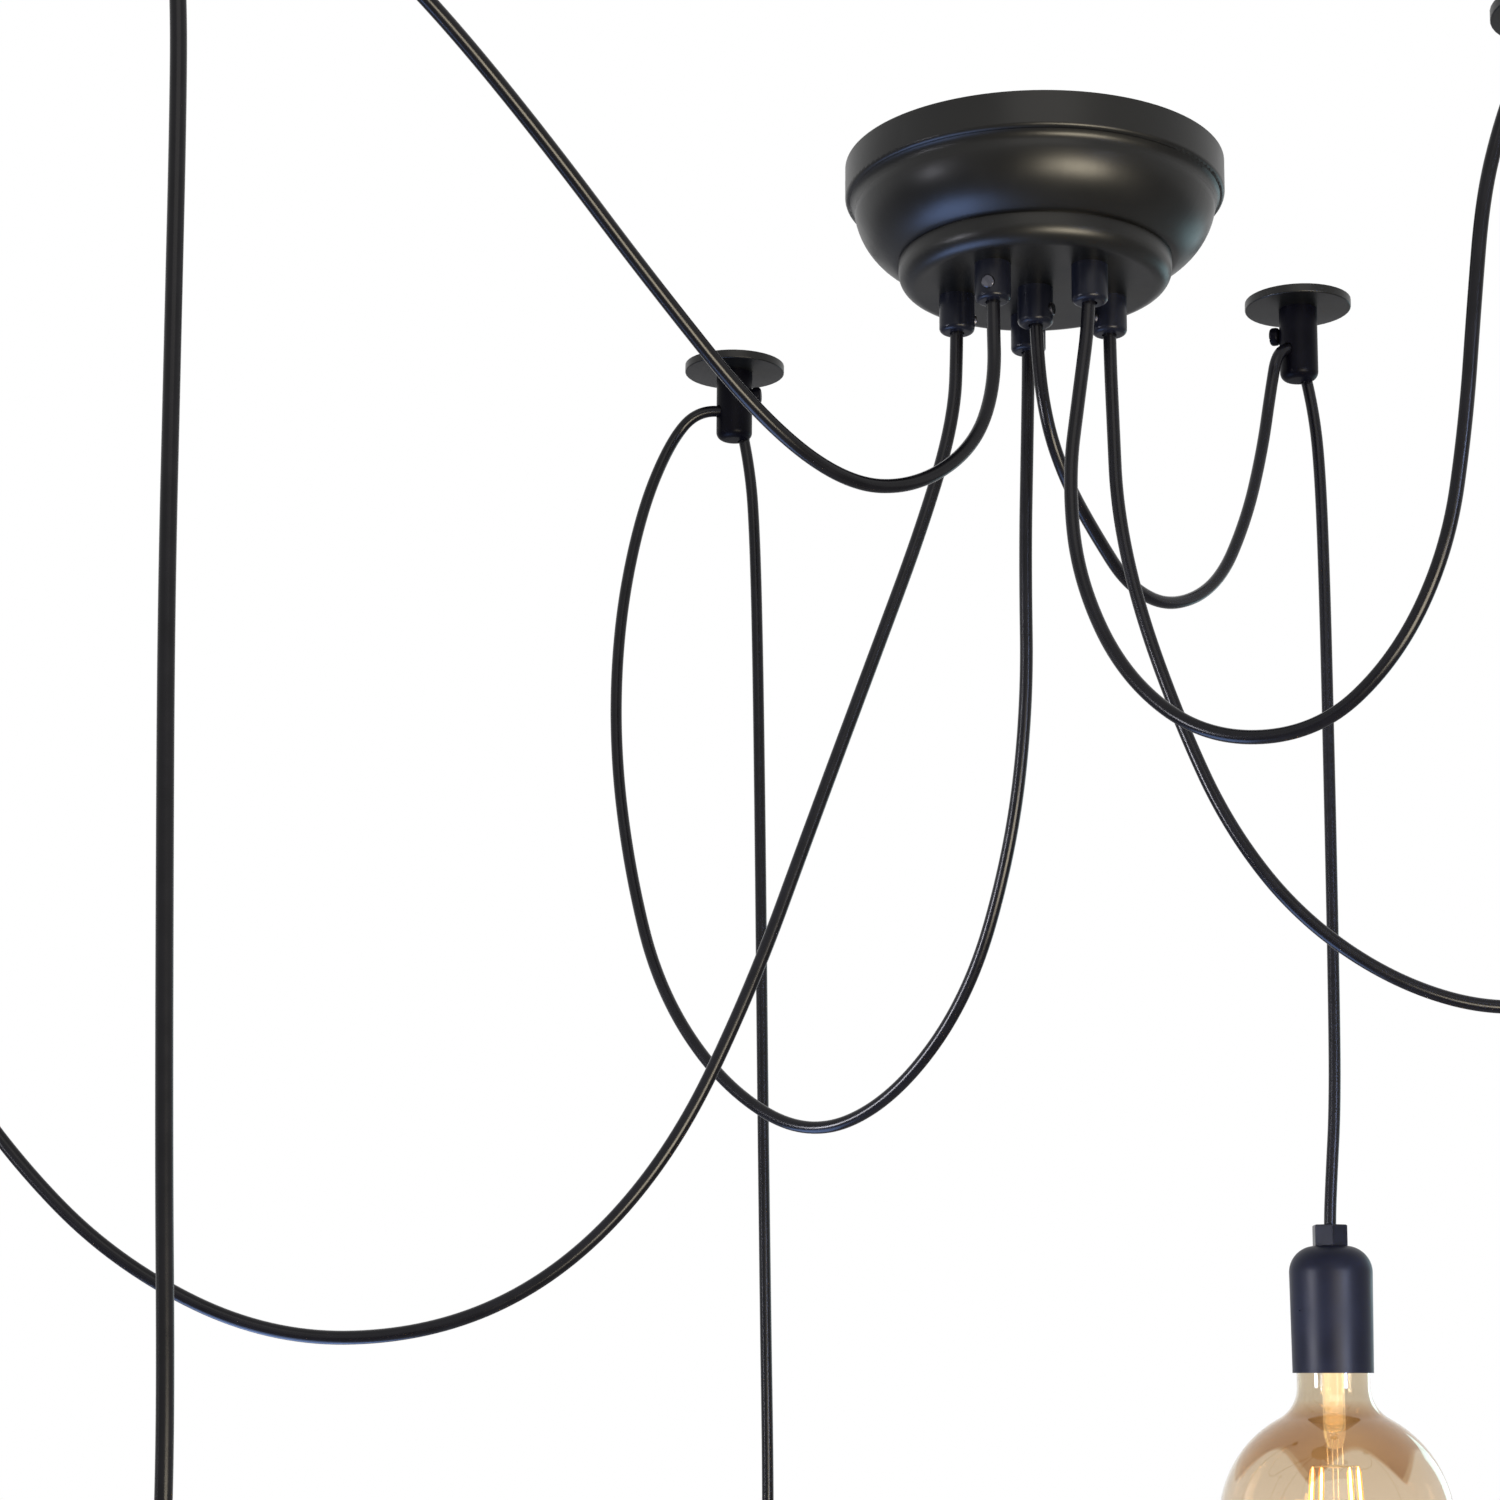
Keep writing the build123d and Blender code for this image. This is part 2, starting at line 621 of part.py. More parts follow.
def holder_outline(inset):
    """Half section of the dome and skirt, drawn smaller all round by the inset."""
    mouth = HOLDER_D / 2 - inset
    shoulder = HOLDER_TOP_D / 2 - inset
    top = HOLDER_H - inset
    dome_r = DOME_R - inset
    crown_r = shoulder - dome_r
    return [
        Line((0, 0), (mouth, 0)),
        Line((mouth, 0), (shoulder, top - dome_r)),
        bowed((shoulder, top - dome_r), (crown_r, top), -quarter_bow(dome_r)),
        Line((crown_r, top), (0, top)),
        Line((0, top), (0, 0)),
    ]


def holder_shell():
    shell = turned(*holder_outline(0)) - turned(*holder_outline(HOLDER_WALL))
    hole_d = HOLDER_STUD_D + 2 * STUD_CLEARANCE
    shell -= rod(hole_d, 3 * HOLDER_WALL, (0, 0, HOLDER_H - 2 * HOLDER_WALL))
    outer_r = HOLDER_D / 2 + (HOLDER_TOP_D - HOLDER_D) / 2 * SLIT_UP / (HOLDER_H - DOME_R)
    slit = rod(2 * outer_r, SLIT_H) - rod(2 * (outer_r - SLIT_DEPTH), SLIT_H)
    slit &= Pos(outer_r, 0, SLIT_H / 2) * Box(outer_r, SLIT_W, SLIT_H)
    return shell - Pos(0, 0, SLIT_UP - SLIT_H / 2) * Rot(0, 0, SLIT_ANGLE) * slit


def cap_top():
    """Height of the bulb's contact button above the holder's mouth."""
    return CAP_INSIDE_HOLDER + CAP_SKIRT_H + CAP_THREAD_L + CAP_GLASS_H + BUTTON_H


def core_seat():
    """Height of the ceramic core's underside, which carries the contact."""
    return cap_top() + CONTACT_GAP + CONTACT_T


def core_top():
    return core_seat() + CORE_H


def thread_outline(growth):
    """Rounded screw thread, as arcs from root to root: crest radii grow by the growth."""
    pitch = CAP_THREAD_L / CAP_THREADS
    foot = CAP_INSIDE_HOLDER + CAP_SKIRT_H
    root = CAP_ROOT_D / 2 + growth
    crest = CAP_D / 2 + growth
    arcs = []
    for turn in range(CAP_THREADS):
        low = foot + turn * pitch
        arcs.append(ThreePointArc((root, low), (crest, low + pitch / 2), (root, low + pitch)))
    return arcs


def screw_shell():
    """Brass shell that the bulb's cap screws into."""
    inner = thread_outline(SHELL_CLEARANCE)
    outer_r = CAP_D / 2 + SHELL_CLEARANCE + SHELL_WALL
    foot = inner[0] @ 0
    head = inner[-1] @ 1
    seat = core_seat()
    wall = [
        Line((foot.X, foot.Y), (outer_r, foot.Y)),
        Line((outer_r, foot.Y), (outer_r, seat)),
        Line((outer_r, seat), (head.X, seat)),
        Line((head.X, seat), (head.X, head.Y)),
    ]
    return turned(*inner, *wall)


def holder_insert():
    """Ceramic core, brass screw shell and sprung centre contact."""
    core_d = HOLDER_D - 2 * (HOLDER_WALL + CORE_CLEARANCE)
    core = rod(core_d, CORE_H, (0, 0, core_seat()))
    core = fillet(core.edges().filter_by(GeomType.CIRCLE).sort_by(Axis.Z)[-1], CORE_EDGE_R)
    contact = rod(CONTACT_D, CONTACT_T, (0, 0, core_seat() - CONTACT_T))
    return [core, screw_shell(), contact]


# ================================================================ bulb
def bulb_cap():
    """Brass cap with its glass insulator and contact button."""
    threads = thread_outline(0)
    foot_z = CAP_INSIDE_HOLDER
    skirt_r = CAP_ROOT_D / 2
    thread_top = threads[-1] @ 1
    inner = CAP_ROOT_D / 2 - CAP_WALL
    neck = CAP_NECK_D / 2
    shoulder = thread_top.Y + CAP_GLASS_H * 0.4
    cap = turned(
        Line((inner, foot_z), (skirt_r, foot_z)),
        Line((skirt_r, foot_z), (skirt_r, foot_z + CAP_SKIRT_H)),
        *threads,
        Line((thread_top.X, thread_top.Y), (neck, shoulder)),
        Line((neck, shoulder), (neck - CAP_WALL, shoulder - CAP_WALL)),
        Line((neck - CAP_WALL, shoulder - CAP_WALL), (inner, thread_top.Y - CAP_WALL)),
        Line((inner, thread_top.Y - CAP_WALL), (inner, foot_z)),
    )
    insulator = turned_polygon(
        (0, shoulder), (neck, shoulder), (BUTTON_D / 2, cap_top() - BUTTON_H),
        (0, cap_top() - BUTTON_H),
    )
    button = rod(BUTTON_D, BUTTON_H, (0, 0, cap_top() - BUTTON_H))
    button = fillet(button.edges().filter_by(GeomType.CIRCLE).sort_by(Axis.Z)[-1], 0.6)
    return [cap, insulator, button]


def glass_outline(inset):
    """Half section of the globe and its neck, drawn smaller all round by the inset."""
    globe_r = GLOBE_D / 2 - inset
    neck_r = NECK_D / 2 - inset
    flare_r = FLARE_R + inset
    mouth_r = CAP_ROOT_D / 2 - CAP_WALL - SEAT_GAP - inset
    ledge_r = CAP_ROOT_D / 2 - inset
    top = glass_top()
    ledge = CAP_INSIDE_HOLDER - inset
    # The flare's centre lies beside the neck and outside the globe, tangent to both.
    flare_x = neck_r + flare_r
    flare_up = ((globe_r + flare_r) ** 2 - flare_x ** 2) ** 0.5
    share = globe_r / (globe_r + flare_r)
    half_sweep = atan2(flare_up, flare_x) / 2
    throat = (neck_r, flare_up - GLOBE_DROP)
    flare_middle = (
        flare_x - flare_r * cos(half_sweep),
        flare_up - GLOBE_DROP - flare_r * sin(half_sweep),
    )
    joint = (flare_x * share, flare_up * share - GLOBE_DROP)
    side = (globe_r, -GLOBE_DROP)
    bottom = (0, -GLOBE_DROP - globe_r)
    return [
        Line((0, top), (mouth_r, top)),
        Line((mouth_r, top), (mouth_r, ledge)),
        Line((mouth_r, ledge), (ledge_r, ledge)),
        Line((ledge_r, ledge), (neck_r, ledge - NECK_SHOULDER_H)),
        Line((neck_r, ledge - NECK_SHOULDER_H), throat),
        ThreePointArc(throat, flare_middle, joint),
        ThreePointArc(joint, side, bottom),
        Line(bottom, (0, top)),
    ]


def glass_top():
    """Height of the glass's open end, inside the cap."""
    return CAP_INSIDE_HOLDER + CAP_SKIRT_H


def bulb_glass():
    return turned(*glass_outline(0)) - turned(*glass_outline(GLASS_WALL))


def wire_spider(radius, height):
    """A small hub with a wire arm out to each filament's end."""
    spider = rod(2 * (OUTER_WIRE_R + WIRE_D), HUB_T, (0, 0, -HUB_T / 2))
    for count in range(FILAMENTS):
        arm = rod(WIRE_D, radius - OUTER_WIRE_R, (0, 0, OUTER_WIRE_R))
        spider += sideways(arm, FILAMENT_PHASE + count * 360 / FILAMENTS)
    return Pos(0, 0, height) * spider


def bulb_filament():
    """Glass stem with its wires, two wire spiders and the leaning filaments."""
    flange_d = CAP_ROOT_D - 2 * (CAP_WALL + SEAT_GAP)
    frame = rod(flange_d, STEM_FLANGE_T, (0, 0, glass_top()))
    tube_part = rod(STEM_TUBE_D, glass_top() + STEM_TUBE_DROP, (0, 0, -STEM_TUBE_DROP))
    rim = tube_part.edges().filter_by(GeomType.CIRCLE).sort_by(Axis.Z)[0]
    frame += chamfer(rim, (STEM_TUBE_D - STEM_TIP_D) / 2)
    tip = rod(STEM_TIP_D, STEM_TIP_DROP - STEM_TUBE_DROP, (0, 0, -STEM_TIP_DROP))
    frame += chamfer(tip.edges().filter_by(GeomType.CIRCLE).sort_by(Axis.Z)[0], STEM_TIP_BEVEL)
    top = -FILAMENT_TOP_DROP
    foot = top - FILAMENT_H
    wire_top = -STEM_TIP_DROP + 2 * WIRE_D
    for side in (-1, 1):
        frame += rod(WIRE_D, wire_top - top, (side * OUTER_WIRE_R, 0, top))
        frame += rod(WIRE_D, wire_top - foot, (side * INNER_WIRE_R, 0, foot))
    frame += wire_spider(FILAMENT_TOP_R, top)
    frame += wire_spider(FILAMENT_FOOT_R, foot)
    strips = []
    for count in range(FILAMENTS):
        angle = FILAMENT_PHASE + count * 360 / FILAMENTS
        high = Vector(*polar(FILAMENT_TOP_R, angle), top)
        low = Vector(*polar(FILAMENT_FOOT_R, angle), foot)
        strip = Plane(origin=high, z_dir=low - high) * Circle(FILAMENT_D / 2)
        strips.append(extrude(strip, (low - high).length) - frame)
    return [frame] + strips


# ================================================================ writing
def write(node, solids):
    """Writes one node's STEP file; a list is written as separate solids."""
    if isinstance(solids, list):
        shape = Compound(children=[solid for part in solids for solid in part.solids()])
    else:
        shape = solids
    shape.label = node
    export_step(shape, f"parts/{node}.step")


def main():
    os.makedirs("parts", exist_ok=True)
    write("canopy_cover", canopy_cover())
    write("ceiling_bracket", ceiling_bracket())
    write("cover_screws", cover_screws())
    write("earth_screw", earth_screw())
    write("terminal_block", terminal_block())
    write("core_leads", core_leads())
    write("cord_grips", cord_grips())
    write("grip_nuts", grip_nuts())
    write("grip_screws", grip_screws())
    write("hook_plates", hook_plates())
    write("hook_stems", hook_stems())
    write("hook_screws", hook_screws())

    pendant_parts = {
        "holder_grip": holder_grip(),
        "holder_shell": holder_shell(),
        "holder_insert": holder_insert(),
        "bulb_cap": bulb_cap(),
        "bulb_glass": bulb_glass(),
        "bulb_filament": bulb_filament(),
    }
    for name in HOOKS:
        swag = tube(swag_route(name), CORD_D, SADDLE_R)
        report_cord(f"swag_cord_{name}", swag_route(name), swag, SADDLE_R)
        write(f"swag_cord_{name}", swag)
        drop = tube(drop_route(name), CORD_D)
        report_cord(f"drop_cord_{name}", drop_route(name), drop)
        write(f"drop_cord_{name}", drop)
        for kind, shape in pendant_parts.items():
            solids = shape if isinstance(shape, list) else [shape]
            write(f"{kind}_{name}", [Pos(*holder_mouth(name)) * solid for solid in solids])


main()
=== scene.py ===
import math

import bmesh
import bpy
import numpy as np
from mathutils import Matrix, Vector


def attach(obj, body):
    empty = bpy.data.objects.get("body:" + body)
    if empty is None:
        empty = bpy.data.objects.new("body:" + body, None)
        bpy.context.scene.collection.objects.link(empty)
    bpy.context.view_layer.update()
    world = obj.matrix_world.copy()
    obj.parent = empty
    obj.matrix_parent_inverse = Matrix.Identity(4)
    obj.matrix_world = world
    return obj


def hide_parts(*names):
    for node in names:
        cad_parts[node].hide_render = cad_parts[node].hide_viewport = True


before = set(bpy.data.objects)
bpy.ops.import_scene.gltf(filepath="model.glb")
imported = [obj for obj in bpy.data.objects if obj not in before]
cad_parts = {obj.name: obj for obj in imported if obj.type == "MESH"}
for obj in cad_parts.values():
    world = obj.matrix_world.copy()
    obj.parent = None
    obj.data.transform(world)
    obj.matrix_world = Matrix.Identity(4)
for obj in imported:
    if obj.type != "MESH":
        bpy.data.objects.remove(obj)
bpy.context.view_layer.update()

# Six-way spider ceiling light: a stepped round canopy, six black cords that swag to
# their ceiling hooks and drop to lampholders with amber globe bulbs.
# Blender works in metres, so a size written in millimetres is multiplied by MM.
MM = 0.001
PENDANTS = "abcdef"
CORD_D = 5.6 * MM
CORE_TOP = 49.7 * MM            # ceramic core's top above the lampholder's mouth
CORE_SEAT = 37.7 * MM           # where the core meets the brass shell, above the mouth

# The bulb: heights below the lampholder's mouth are called drops.
GLOBE_R = 52.45 * MM
GLOBE_DROP = 66.5 * MM          # to the globe's centre
BULB_DROP = 119.0 * MM          # to the globe's lowest point
NECK_R = 16.4 * MM
FLARE_R = 16.0 * MM             # hollow curve from the neck into the globe
GLASS_WALL = 0.8 * MM

# Painted reflection on the glass: a brown band that stands in for dark reflections on the
# shoulder. It fades in below the neck and ends in a scalloped edge.
PAINTED_REFLECTION_STARTS = 12.0 * MM
PAINTED_REFLECTION_FULL = 20.0 * MM
PAINTED_REFLECTION_EDGE = 1.4 * MM           # softness of the scalloped edge
SCALLOPS = 7
SCALLOP_PHASE = 0.55            # radians
CUSP_DROP = 49.0 * MM           # to the lowest points of the stain's edge
SCALLOP_RISE = 15.0 * MM

# Inside the globe: heights above the mouth, so those below it are negative.
WIRE_TOP = -29.0 * MM
TOP_HUB = -41.5 * MM
FOOT_HUB = -79.5 * MM
OUTER_WIRE_X = 3.4 * MM
INNER_WIRE_X = 1.1 * MM
WIRE_R = 0.35 * MM
SPOKE_R = 0.32 * MM
SPOKE_START = 0.18              # of the way from the axis to a strip's end
STRIPS_TOP_R = 11.8 * MM        # circle that the strips' upper ends stand on
STRIPS_FOOT_R = 14.6 * MM
STRIP_R = 0.55 * MM
COAT_R = 1.35 * MM              # silicone coat round a strip
STRIP_FLATNESS = 0.85
STRIP_ANGLES = np.radians(23.0 + 90.0 * np.arange(4))

# Cord routes in metres: the points that the CAD tubes follow.
SWAG_POINTS = {
    "a": [
        (-0.019013, -0.028187, -0.046), (-0.019013, -0.028187, -0.072),
        (-0.0185, -0.033, -0.107), (-0.028, -0.046, -0.137), (-0.051, -0.066, -0.159),
        (-0.078, -0.088, -0.165), (-0.110, -0.118, -0.149), (-0.151, -0.150, -0.105),
        (-0.185, -0.186, -0.068), (-0.216, -0.216, -0.037), (-0.239, -0.242, -0.020),
        (-0.260, -0.266, -0.018), (-0.273647, -0.278082, -0.025),
        (-0.297313, -0.284424, -0.025), (-0.297313, -0.284424, -0.0378),
    ],
    "b": [
        (-0.032683, 0.009372, -0.046), (-0.032683, 0.009372, -0.072),
        (-0.034, 0.009, -0.107), (-0.048, 0.009, -0.155), (-0.069, 0.008, -0.213),
        (-0.093, 0.008, -0.279), (-0.118, 0.008, -0.349), (-0.150, 0.008, -0.417),
        (-0.194, 0.008, -0.465), (-0.247, 0.008, -0.489), (-0.311, 0.008, -0.490),
        (-0.373, 0.008, -0.460), (-0.420, 0.008, -0.414), (-0.460, 0.009, -0.357),
        (-0.491, 0.009, -0.293), (-0.516, 0.010, -0.223), (-0.532, 0.010, -0.155),
        (-0.542, 0.010, -0.098), (-0.546, 0.010, -0.058), (-0.545228, 0.007395, -0.025),
        (-0.565416, 0.010955, -0.025), (-0.565416, 0.010955, -0.0378),
    ],
    "c": [
        (-0.001187, 0.033979, -0.046), (-0.001187, 0.033979, -0.072),
        (-0.002, 0.035, -0.109), (-0.003, 0.041, -0.159), (-0.002, 0.050, -0.221),
        (-0.009, 0.062, -0.282), (-0.027, 0.082, -0.344), (-0.061, 0.108, -0.387),
        (-0.098, 0.130, -0.400), (-0.137, 0.158, -0.374), (-0.168, 0.182, -0.327),
        (-0.184, 0.200, -0.267), (-0.193, 0.214, -0.204), (-0.193, 0.228, -0.140),
        (-0.184, 0.240, -0.081), (-0.170, 0.247, -0.041), (-0.15522, 0.24297, -0.025),
        (-0.133015, 0.253324, -0.025), (-0.133015, 0.253324, -0.0378),
    ],
    "d": [
        (0.0, 0.0, -0.046), (0.0, 0.0, -0.072), (0.0035, 0.0035, -0.107),
        (0.013, 0.017, -0.131), (0.027, 0.037, -0.149), (0.043, 0.060, -0.166),
        (0.064, 0.085, -0.169), (0.088, 0.110, -0.152), (0.104, 0.130, -0.115),
        (0.114, 0.146, -0.077), (0.119, 0.152, -0.048), (0.122853, 0.148963, -0.025),
        (0.138087, 0.16268, -0.025), (0.138087, 0.16268, -0.0378),
    ],
    "e": [
        (0.020932, -0.026792, -0.046), (0.020932, -0.026792, -0.072),
        (0.016, -0.028, -0.108), (0.011, -0.031, -0.145), (0.014, -0.038, -0.189),
        (0.031, -0.052, -0.233), (0.061, -0.072, -0.262), (0.100, -0.093, -0.264),
        (0.128, -0.110, -0.239), (0.146, -0.123, -0.200), (0.152, -0.133, -0.155),
        (0.155, -0.141, -0.110), (0.158, -0.147, -0.073), (0.164, -0.152, -0.047),
        (0.172057, -0.155307, -0.025), (0.192479, -0.153521, -0.025),
        (0.192479, -0.153521, -0.0378),
    ],
    "f": [
        (0.03195, 0.011629, -0.046), (0.03195, 0.011629, -0.072),
        (0.033, 0.011, -0.108), (0.034, 0.009, -0.146), (0.042, 0.006, -0.189),
        (0.058, 0.003, -0.238), (0.077, 0.0, -0.283), (0.105, -0.003, -0.321),
        (0.143, -0.005, -0.348), (0.184, -0.006, -0.360), (0.225, -0.006, -0.353),
        (0.263, -0.005, -0.326), (0.292, -0.004, -0.283), (0.314, -0.003, -0.233),
        (0.328, -0.002, -0.180), (0.337, -0.001, -0.126), (0.343, 0.0, -0.078),
        (0.346, 0.0, -0.049), (0.347228, -0.002605, -0.025), (0.367416, 0.000955, -0.025),
        (0.367416, 0.000955, -0.0378),
    ],
}
DROP_POINTS = {
    "a": [
        (-0.297313, -0.284424, -0.0387), (-0.2954, -0.2844, -0.059),
        (-0.2942, -0.2844, -0.100), (-0.2932, -0.2844, -0.175), (-0.2921, -0.2844, -0.262),
        (-0.2894, -0.2844, -0.350), (-0.2863, -0.2844, -0.440), (-0.2840, -0.2844, -0.492),
        (-0.2829, -0.2844, -0.526), (-0.2826, -0.2844, -0.556), (-0.2826, -0.2844, -0.5728),
    ],
    "b": [
        (-0.565416, 0.010955, -0.0387), (-0.5659, 0.011, -0.059), (-0.5667, 0.011, -0.100),
        (-0.5679, 0.011, -0.175), (-0.5692, 0.011, -0.290), (-0.5700, 0.011, -0.400),
        (-0.5703, 0.011, -0.462), (-0.5704, 0.011, -0.500), (-0.5704, 0.0111, -0.532),
        (-0.5704, 0.0111, -0.5488),
    ],
    "c": [
        (-0.133015, 0.253324, -0.0387), (-0.1296, 0.2533, -0.056),
        (-0.1274, 0.2533, -0.088), (-0.1256, 0.2533, -0.145), (-0.1238, 0.2533, -0.240),
        (-0.1218, 0.2533, -0.370), (-0.1198, 0.2533, -0.480), (-0.1189, 0.2533, -0.522),
        (-0.1184, 0.2533, -0.552), (-0.1182, 0.2533, -0.580), (-0.1182, 0.2533, -0.5968),
    ],
    "d": [
        (0.138087, 0.16268, -0.0387), (0.1412, 0.1627, -0.054), (0.1434, 0.1627, -0.084),
        (0.1442, 0.1627, -0.140), (0.1442, 0.1627, -0.235), (0.1439, 0.1627, -0.330),
        (0.1432, 0.1627, -0.382), (0.1407, 0.1627, -0.416), (0.1394, 0.1627, -0.437),
        (0.1394, 0.1627, -0.4538),
    ],
    "e": [
        (0.192479, -0.153521, -0.0387), (0.1930, -0.1535, -0.059),
        (0.1936, -0.1535, -0.100), (0.1943, -0.1535, -0.175), (0.1949, -0.1535, -0.300),
        (0.1952, -0.1535, -0.430), (0.1953, -0.1535, -0.492), (0.1953, -0.1536, -0.530),
        (0.1954, -0.1536, -0.562), (0.1954, -0.1536, -0.5788),
    ],
    "f": [
        (0.367416, 0.000955, -0.0387), (0.3679, 0.001, -0.059), (0.3686, 0.001, -0.100),
        (0.3696, 0.001, -0.175), (0.3706, 0.001, -0.290), (0.3712, 0.001, -0.410),
        (0.3714, 0.001, -0.475), (0.3714, 0.0011, -0.513), (0.3715, 0.0011, -0.545),
        (0.3715, 0.0011, -0.5618),
    ],
}


# ---------------------------------------------------------------- materials
def linear(hex_colour):
    """sRGB hex to linear RGBA, by the sRGB transfer curve."""
    srgb = np.array([int(hex_colour[i:i + 2], 16) / 255 for i in (1, 3, 5)])
    rgb = np.where(srgb <= 0.04045, srgb / 12.92, ((srgb + 0.055) / 1.055) ** 2.4)
    return (*rgb.tolist(), 1.0)


def per_mm(size_mm):
    """Scale of a pattern whose features are this many millimetres, on metre coordinates."""
    return 1.0 / (size_mm * MM)


def add(tree, kind, inputs=None, **settings):
    """Adds a node, sets its properties, and sets or links each of its inputs."""
    node = tree.nodes.new(kind)
    for name, value in settings.items():
        setattr(node, name, value)
    for key, value in (inputs or {}).items():
        socket = node.inputs[key]
        if isinstance(value, bpy.types.NodeSocket):
            tree.links.new(value, socket)
        else:
            socket.default_value = value
    return node


# Sockets of a Mix node that mixes colours.
MIX_SHARE, MIX_A, MIX_B, MIX_RESULT = 0, 6, 7, 2


def new_material(name):
    """A material with an empty node tree, and the tree."""
    material = bpy.data.materials.new(name)
    material.use_nodes = True
    material.node_tree.nodes.clear()
    return material, material.node_tree


def surface(tree, shader):
    """Makes the shader the material's surface."""
    add(tree, "ShaderNodeOutputMaterial", {"Surface": shader.outputs[0]})


def ramp(tree, factor, stops):
    """Colour ramp through (position, hex) stops."""
    node = add(tree, "ShaderNodeValToRGB", {"Fac": factor})
    elements = node.color_ramp.elements
    for _ in range(len(stops) - 2):
        elements.new(0.5)
    for element, (position, colour) in zip(elements, stops):
        element.position = position
        element.color = linear(colour)
    return node


def grained(name, dark, light, grain_mm, relief_mm, roughness, patch_mm=30.0, own=None):
    """A coated or moulded surface: fine grain in relief, slow drifts of tone and gloss.
    The own settings go to the shader's sockets by name."""
    material, tree = new_material(name)
    place = add(tree, "ShaderNodeTexCoord").outputs["Object"]
    grain = add(tree, "ShaderNodeTexNoise", {
        "Vector": place, "Scale": per_mm(grain_mm), "Detail": 2.0, "Roughness": 0.55})
    patch = add(tree, "ShaderNodeTexNoise", {
        "Vector": place, "Scale": per_mm(patch_mm), "Detail": 3.0, "Roughness": 0.5})
    colour = ramp(tree, patch.outputs["Fac"], [(0.3, dark), (0.7, light)])
    gloss = add(tree, "ShaderNodeMapRange", {
        "Value": patch.outputs["Fac"], "From Min": 0.3, "From Max": 0.7,
        "To Min": roughness * 0.9, "To Max": roughness * 1.12})
    relief = add(tree, "ShaderNodeBump", {
        "Height": grain.outputs["Fac"], "Strength": 1.0, "Distance": relief_mm * MM})
    shader = add(tree, "ShaderNodeBsdfPrincipled", {
        "Base Color": colour.outputs["Color"], "Roughness": gloss.outputs["Result"],
        "Normal": relief.outputs["Normal"], **(own or {})})
    surface(tree, shader)
    return material


def amber_glass():
    """Blown amber glass: clear at the neck and pale round the globe, with a painted
    reflection on the shoulder, a brown band down to a scalloped edge that stands in for
    darker reflections. The two attributes are heights along the glass, so the band follows
    the wall; slow noise lets its depth wander a little."""
    material, tree = new_material("amber_glass_painted_reflection")
    drop = add(tree, "ShaderNodeAttribute", attribute_name="below_mouth",
               attribute_type="GEOMETRY")
    left = add(tree, "ShaderNodeAttribute", attribute_name="above_scallop",
               attribute_type="GEOMETRY")
    place = add(tree, "ShaderNodeTexCoord").outputs["Object"]
    drift = add(tree, "ShaderNodeTexNoise", {
        "Vector": place, "Scale": per_mm(38.0), "Detail": 1.0, "Roughness": 0.4})
    pale = ramp(tree, add(tree, "ShaderNodeMapRange", {
        "Value": drop.outputs["Fac"], "From Min": 0.0,
        "From Max": BULB_DROP}).outputs["Result"],
        [(0.05, "#dcd2c0"), (0.3, "#e2d4bf"), (0.6, "#ecdfcd"), (1.0, "#e8d8c3")])
    # Painted reflection: this brown colours the band that stands in for dark reflections on
    # the shoulder.
    brown = ramp(tree, drift.outputs["Fac"], [(0.3, "#c4a580"), (0.7, "#d6ba94")])
    starts = add(tree, "ShaderNodeMapRange", {
        "Value": drop.outputs["Fac"], "From Min": PAINTED_REFLECTION_STARTS,
        "From Max": PAINTED_REFLECTION_FULL})
    ends = add(tree, "ShaderNodeMapRange", {
        "Value": left.outputs["Fac"], "From Min": 0.0, "From Max": PAINTED_REFLECTION_EDGE})
    share = add(tree, "ShaderNodeMath", {
        0: starts.outputs["Result"], 1: ends.outputs["Result"]}, operation="MULTIPLY")
    # The brown band, a painted reflection, is mixed over the glass's pale tint.
    painted_reflection = add(tree, "ShaderNodeMix", {
        MIX_SHARE: share.outputs["Value"], MIX_A: pale.outputs["Color"],
        MIX_B: brown.outputs["Color"]}, data_type="RGBA")
    shader = add(tree, "ShaderNodeBsdfPrincipled", {
        "Base Color": painted_reflection.outputs[MIX_RESULT], "Roughness": 0.0, "IOR": 1.5,
        "Transmission Weight": 1.0})
    surface(tree, shader)
    return material


def drawn_glass():
    """Clear drawn glass of the bulb's stem, with faint lengthwise draw lines, and a painted
    glow: a faint emission that stands in for the strips' light in the stem.
    """
    material, tree = new_material("drawn_glass_painted_glow")
    place = add(tree, "ShaderNodeTexCoord").outputs["Object"]
    along = add(tree, "ShaderNodeMapping", {"Vector": place, "Scale": (1.0, 1.0, 0.05)})
    lines = add(tree, "ShaderNodeTexNoise", {
        "Vector": along.outputs["Vector"], "Scale": per_mm(1.5), "Detail": 1.0})
    relief = add(tree, "ShaderNodeBump", {
        "Height": lines.outputs["Fac"], "Strength": 0.5, "Distance": 0.08 * MM})
    tint = ramp(tree, lines.outputs["Fac"], [(0.3, "#f4ead4"), (0.7, "#faf3e4")])
    # Painted glow: the stem's faint emission stands in for the light of the strips; the
    # stem itself is no lamp.
    shader = add(tree, "ShaderNodeBsdfPrincipled", {
        "Base Color": tint.outputs["Color"], "Roughness": 0.02, "IOR": 1.25,
        "Transmission Weight": 1.0, "Emission Color": linear("#fff0d2"),
        "Emission Strength": 0.24, "Normal": relief.outputs["Normal"]})
    surface(tree, shader)
    return material


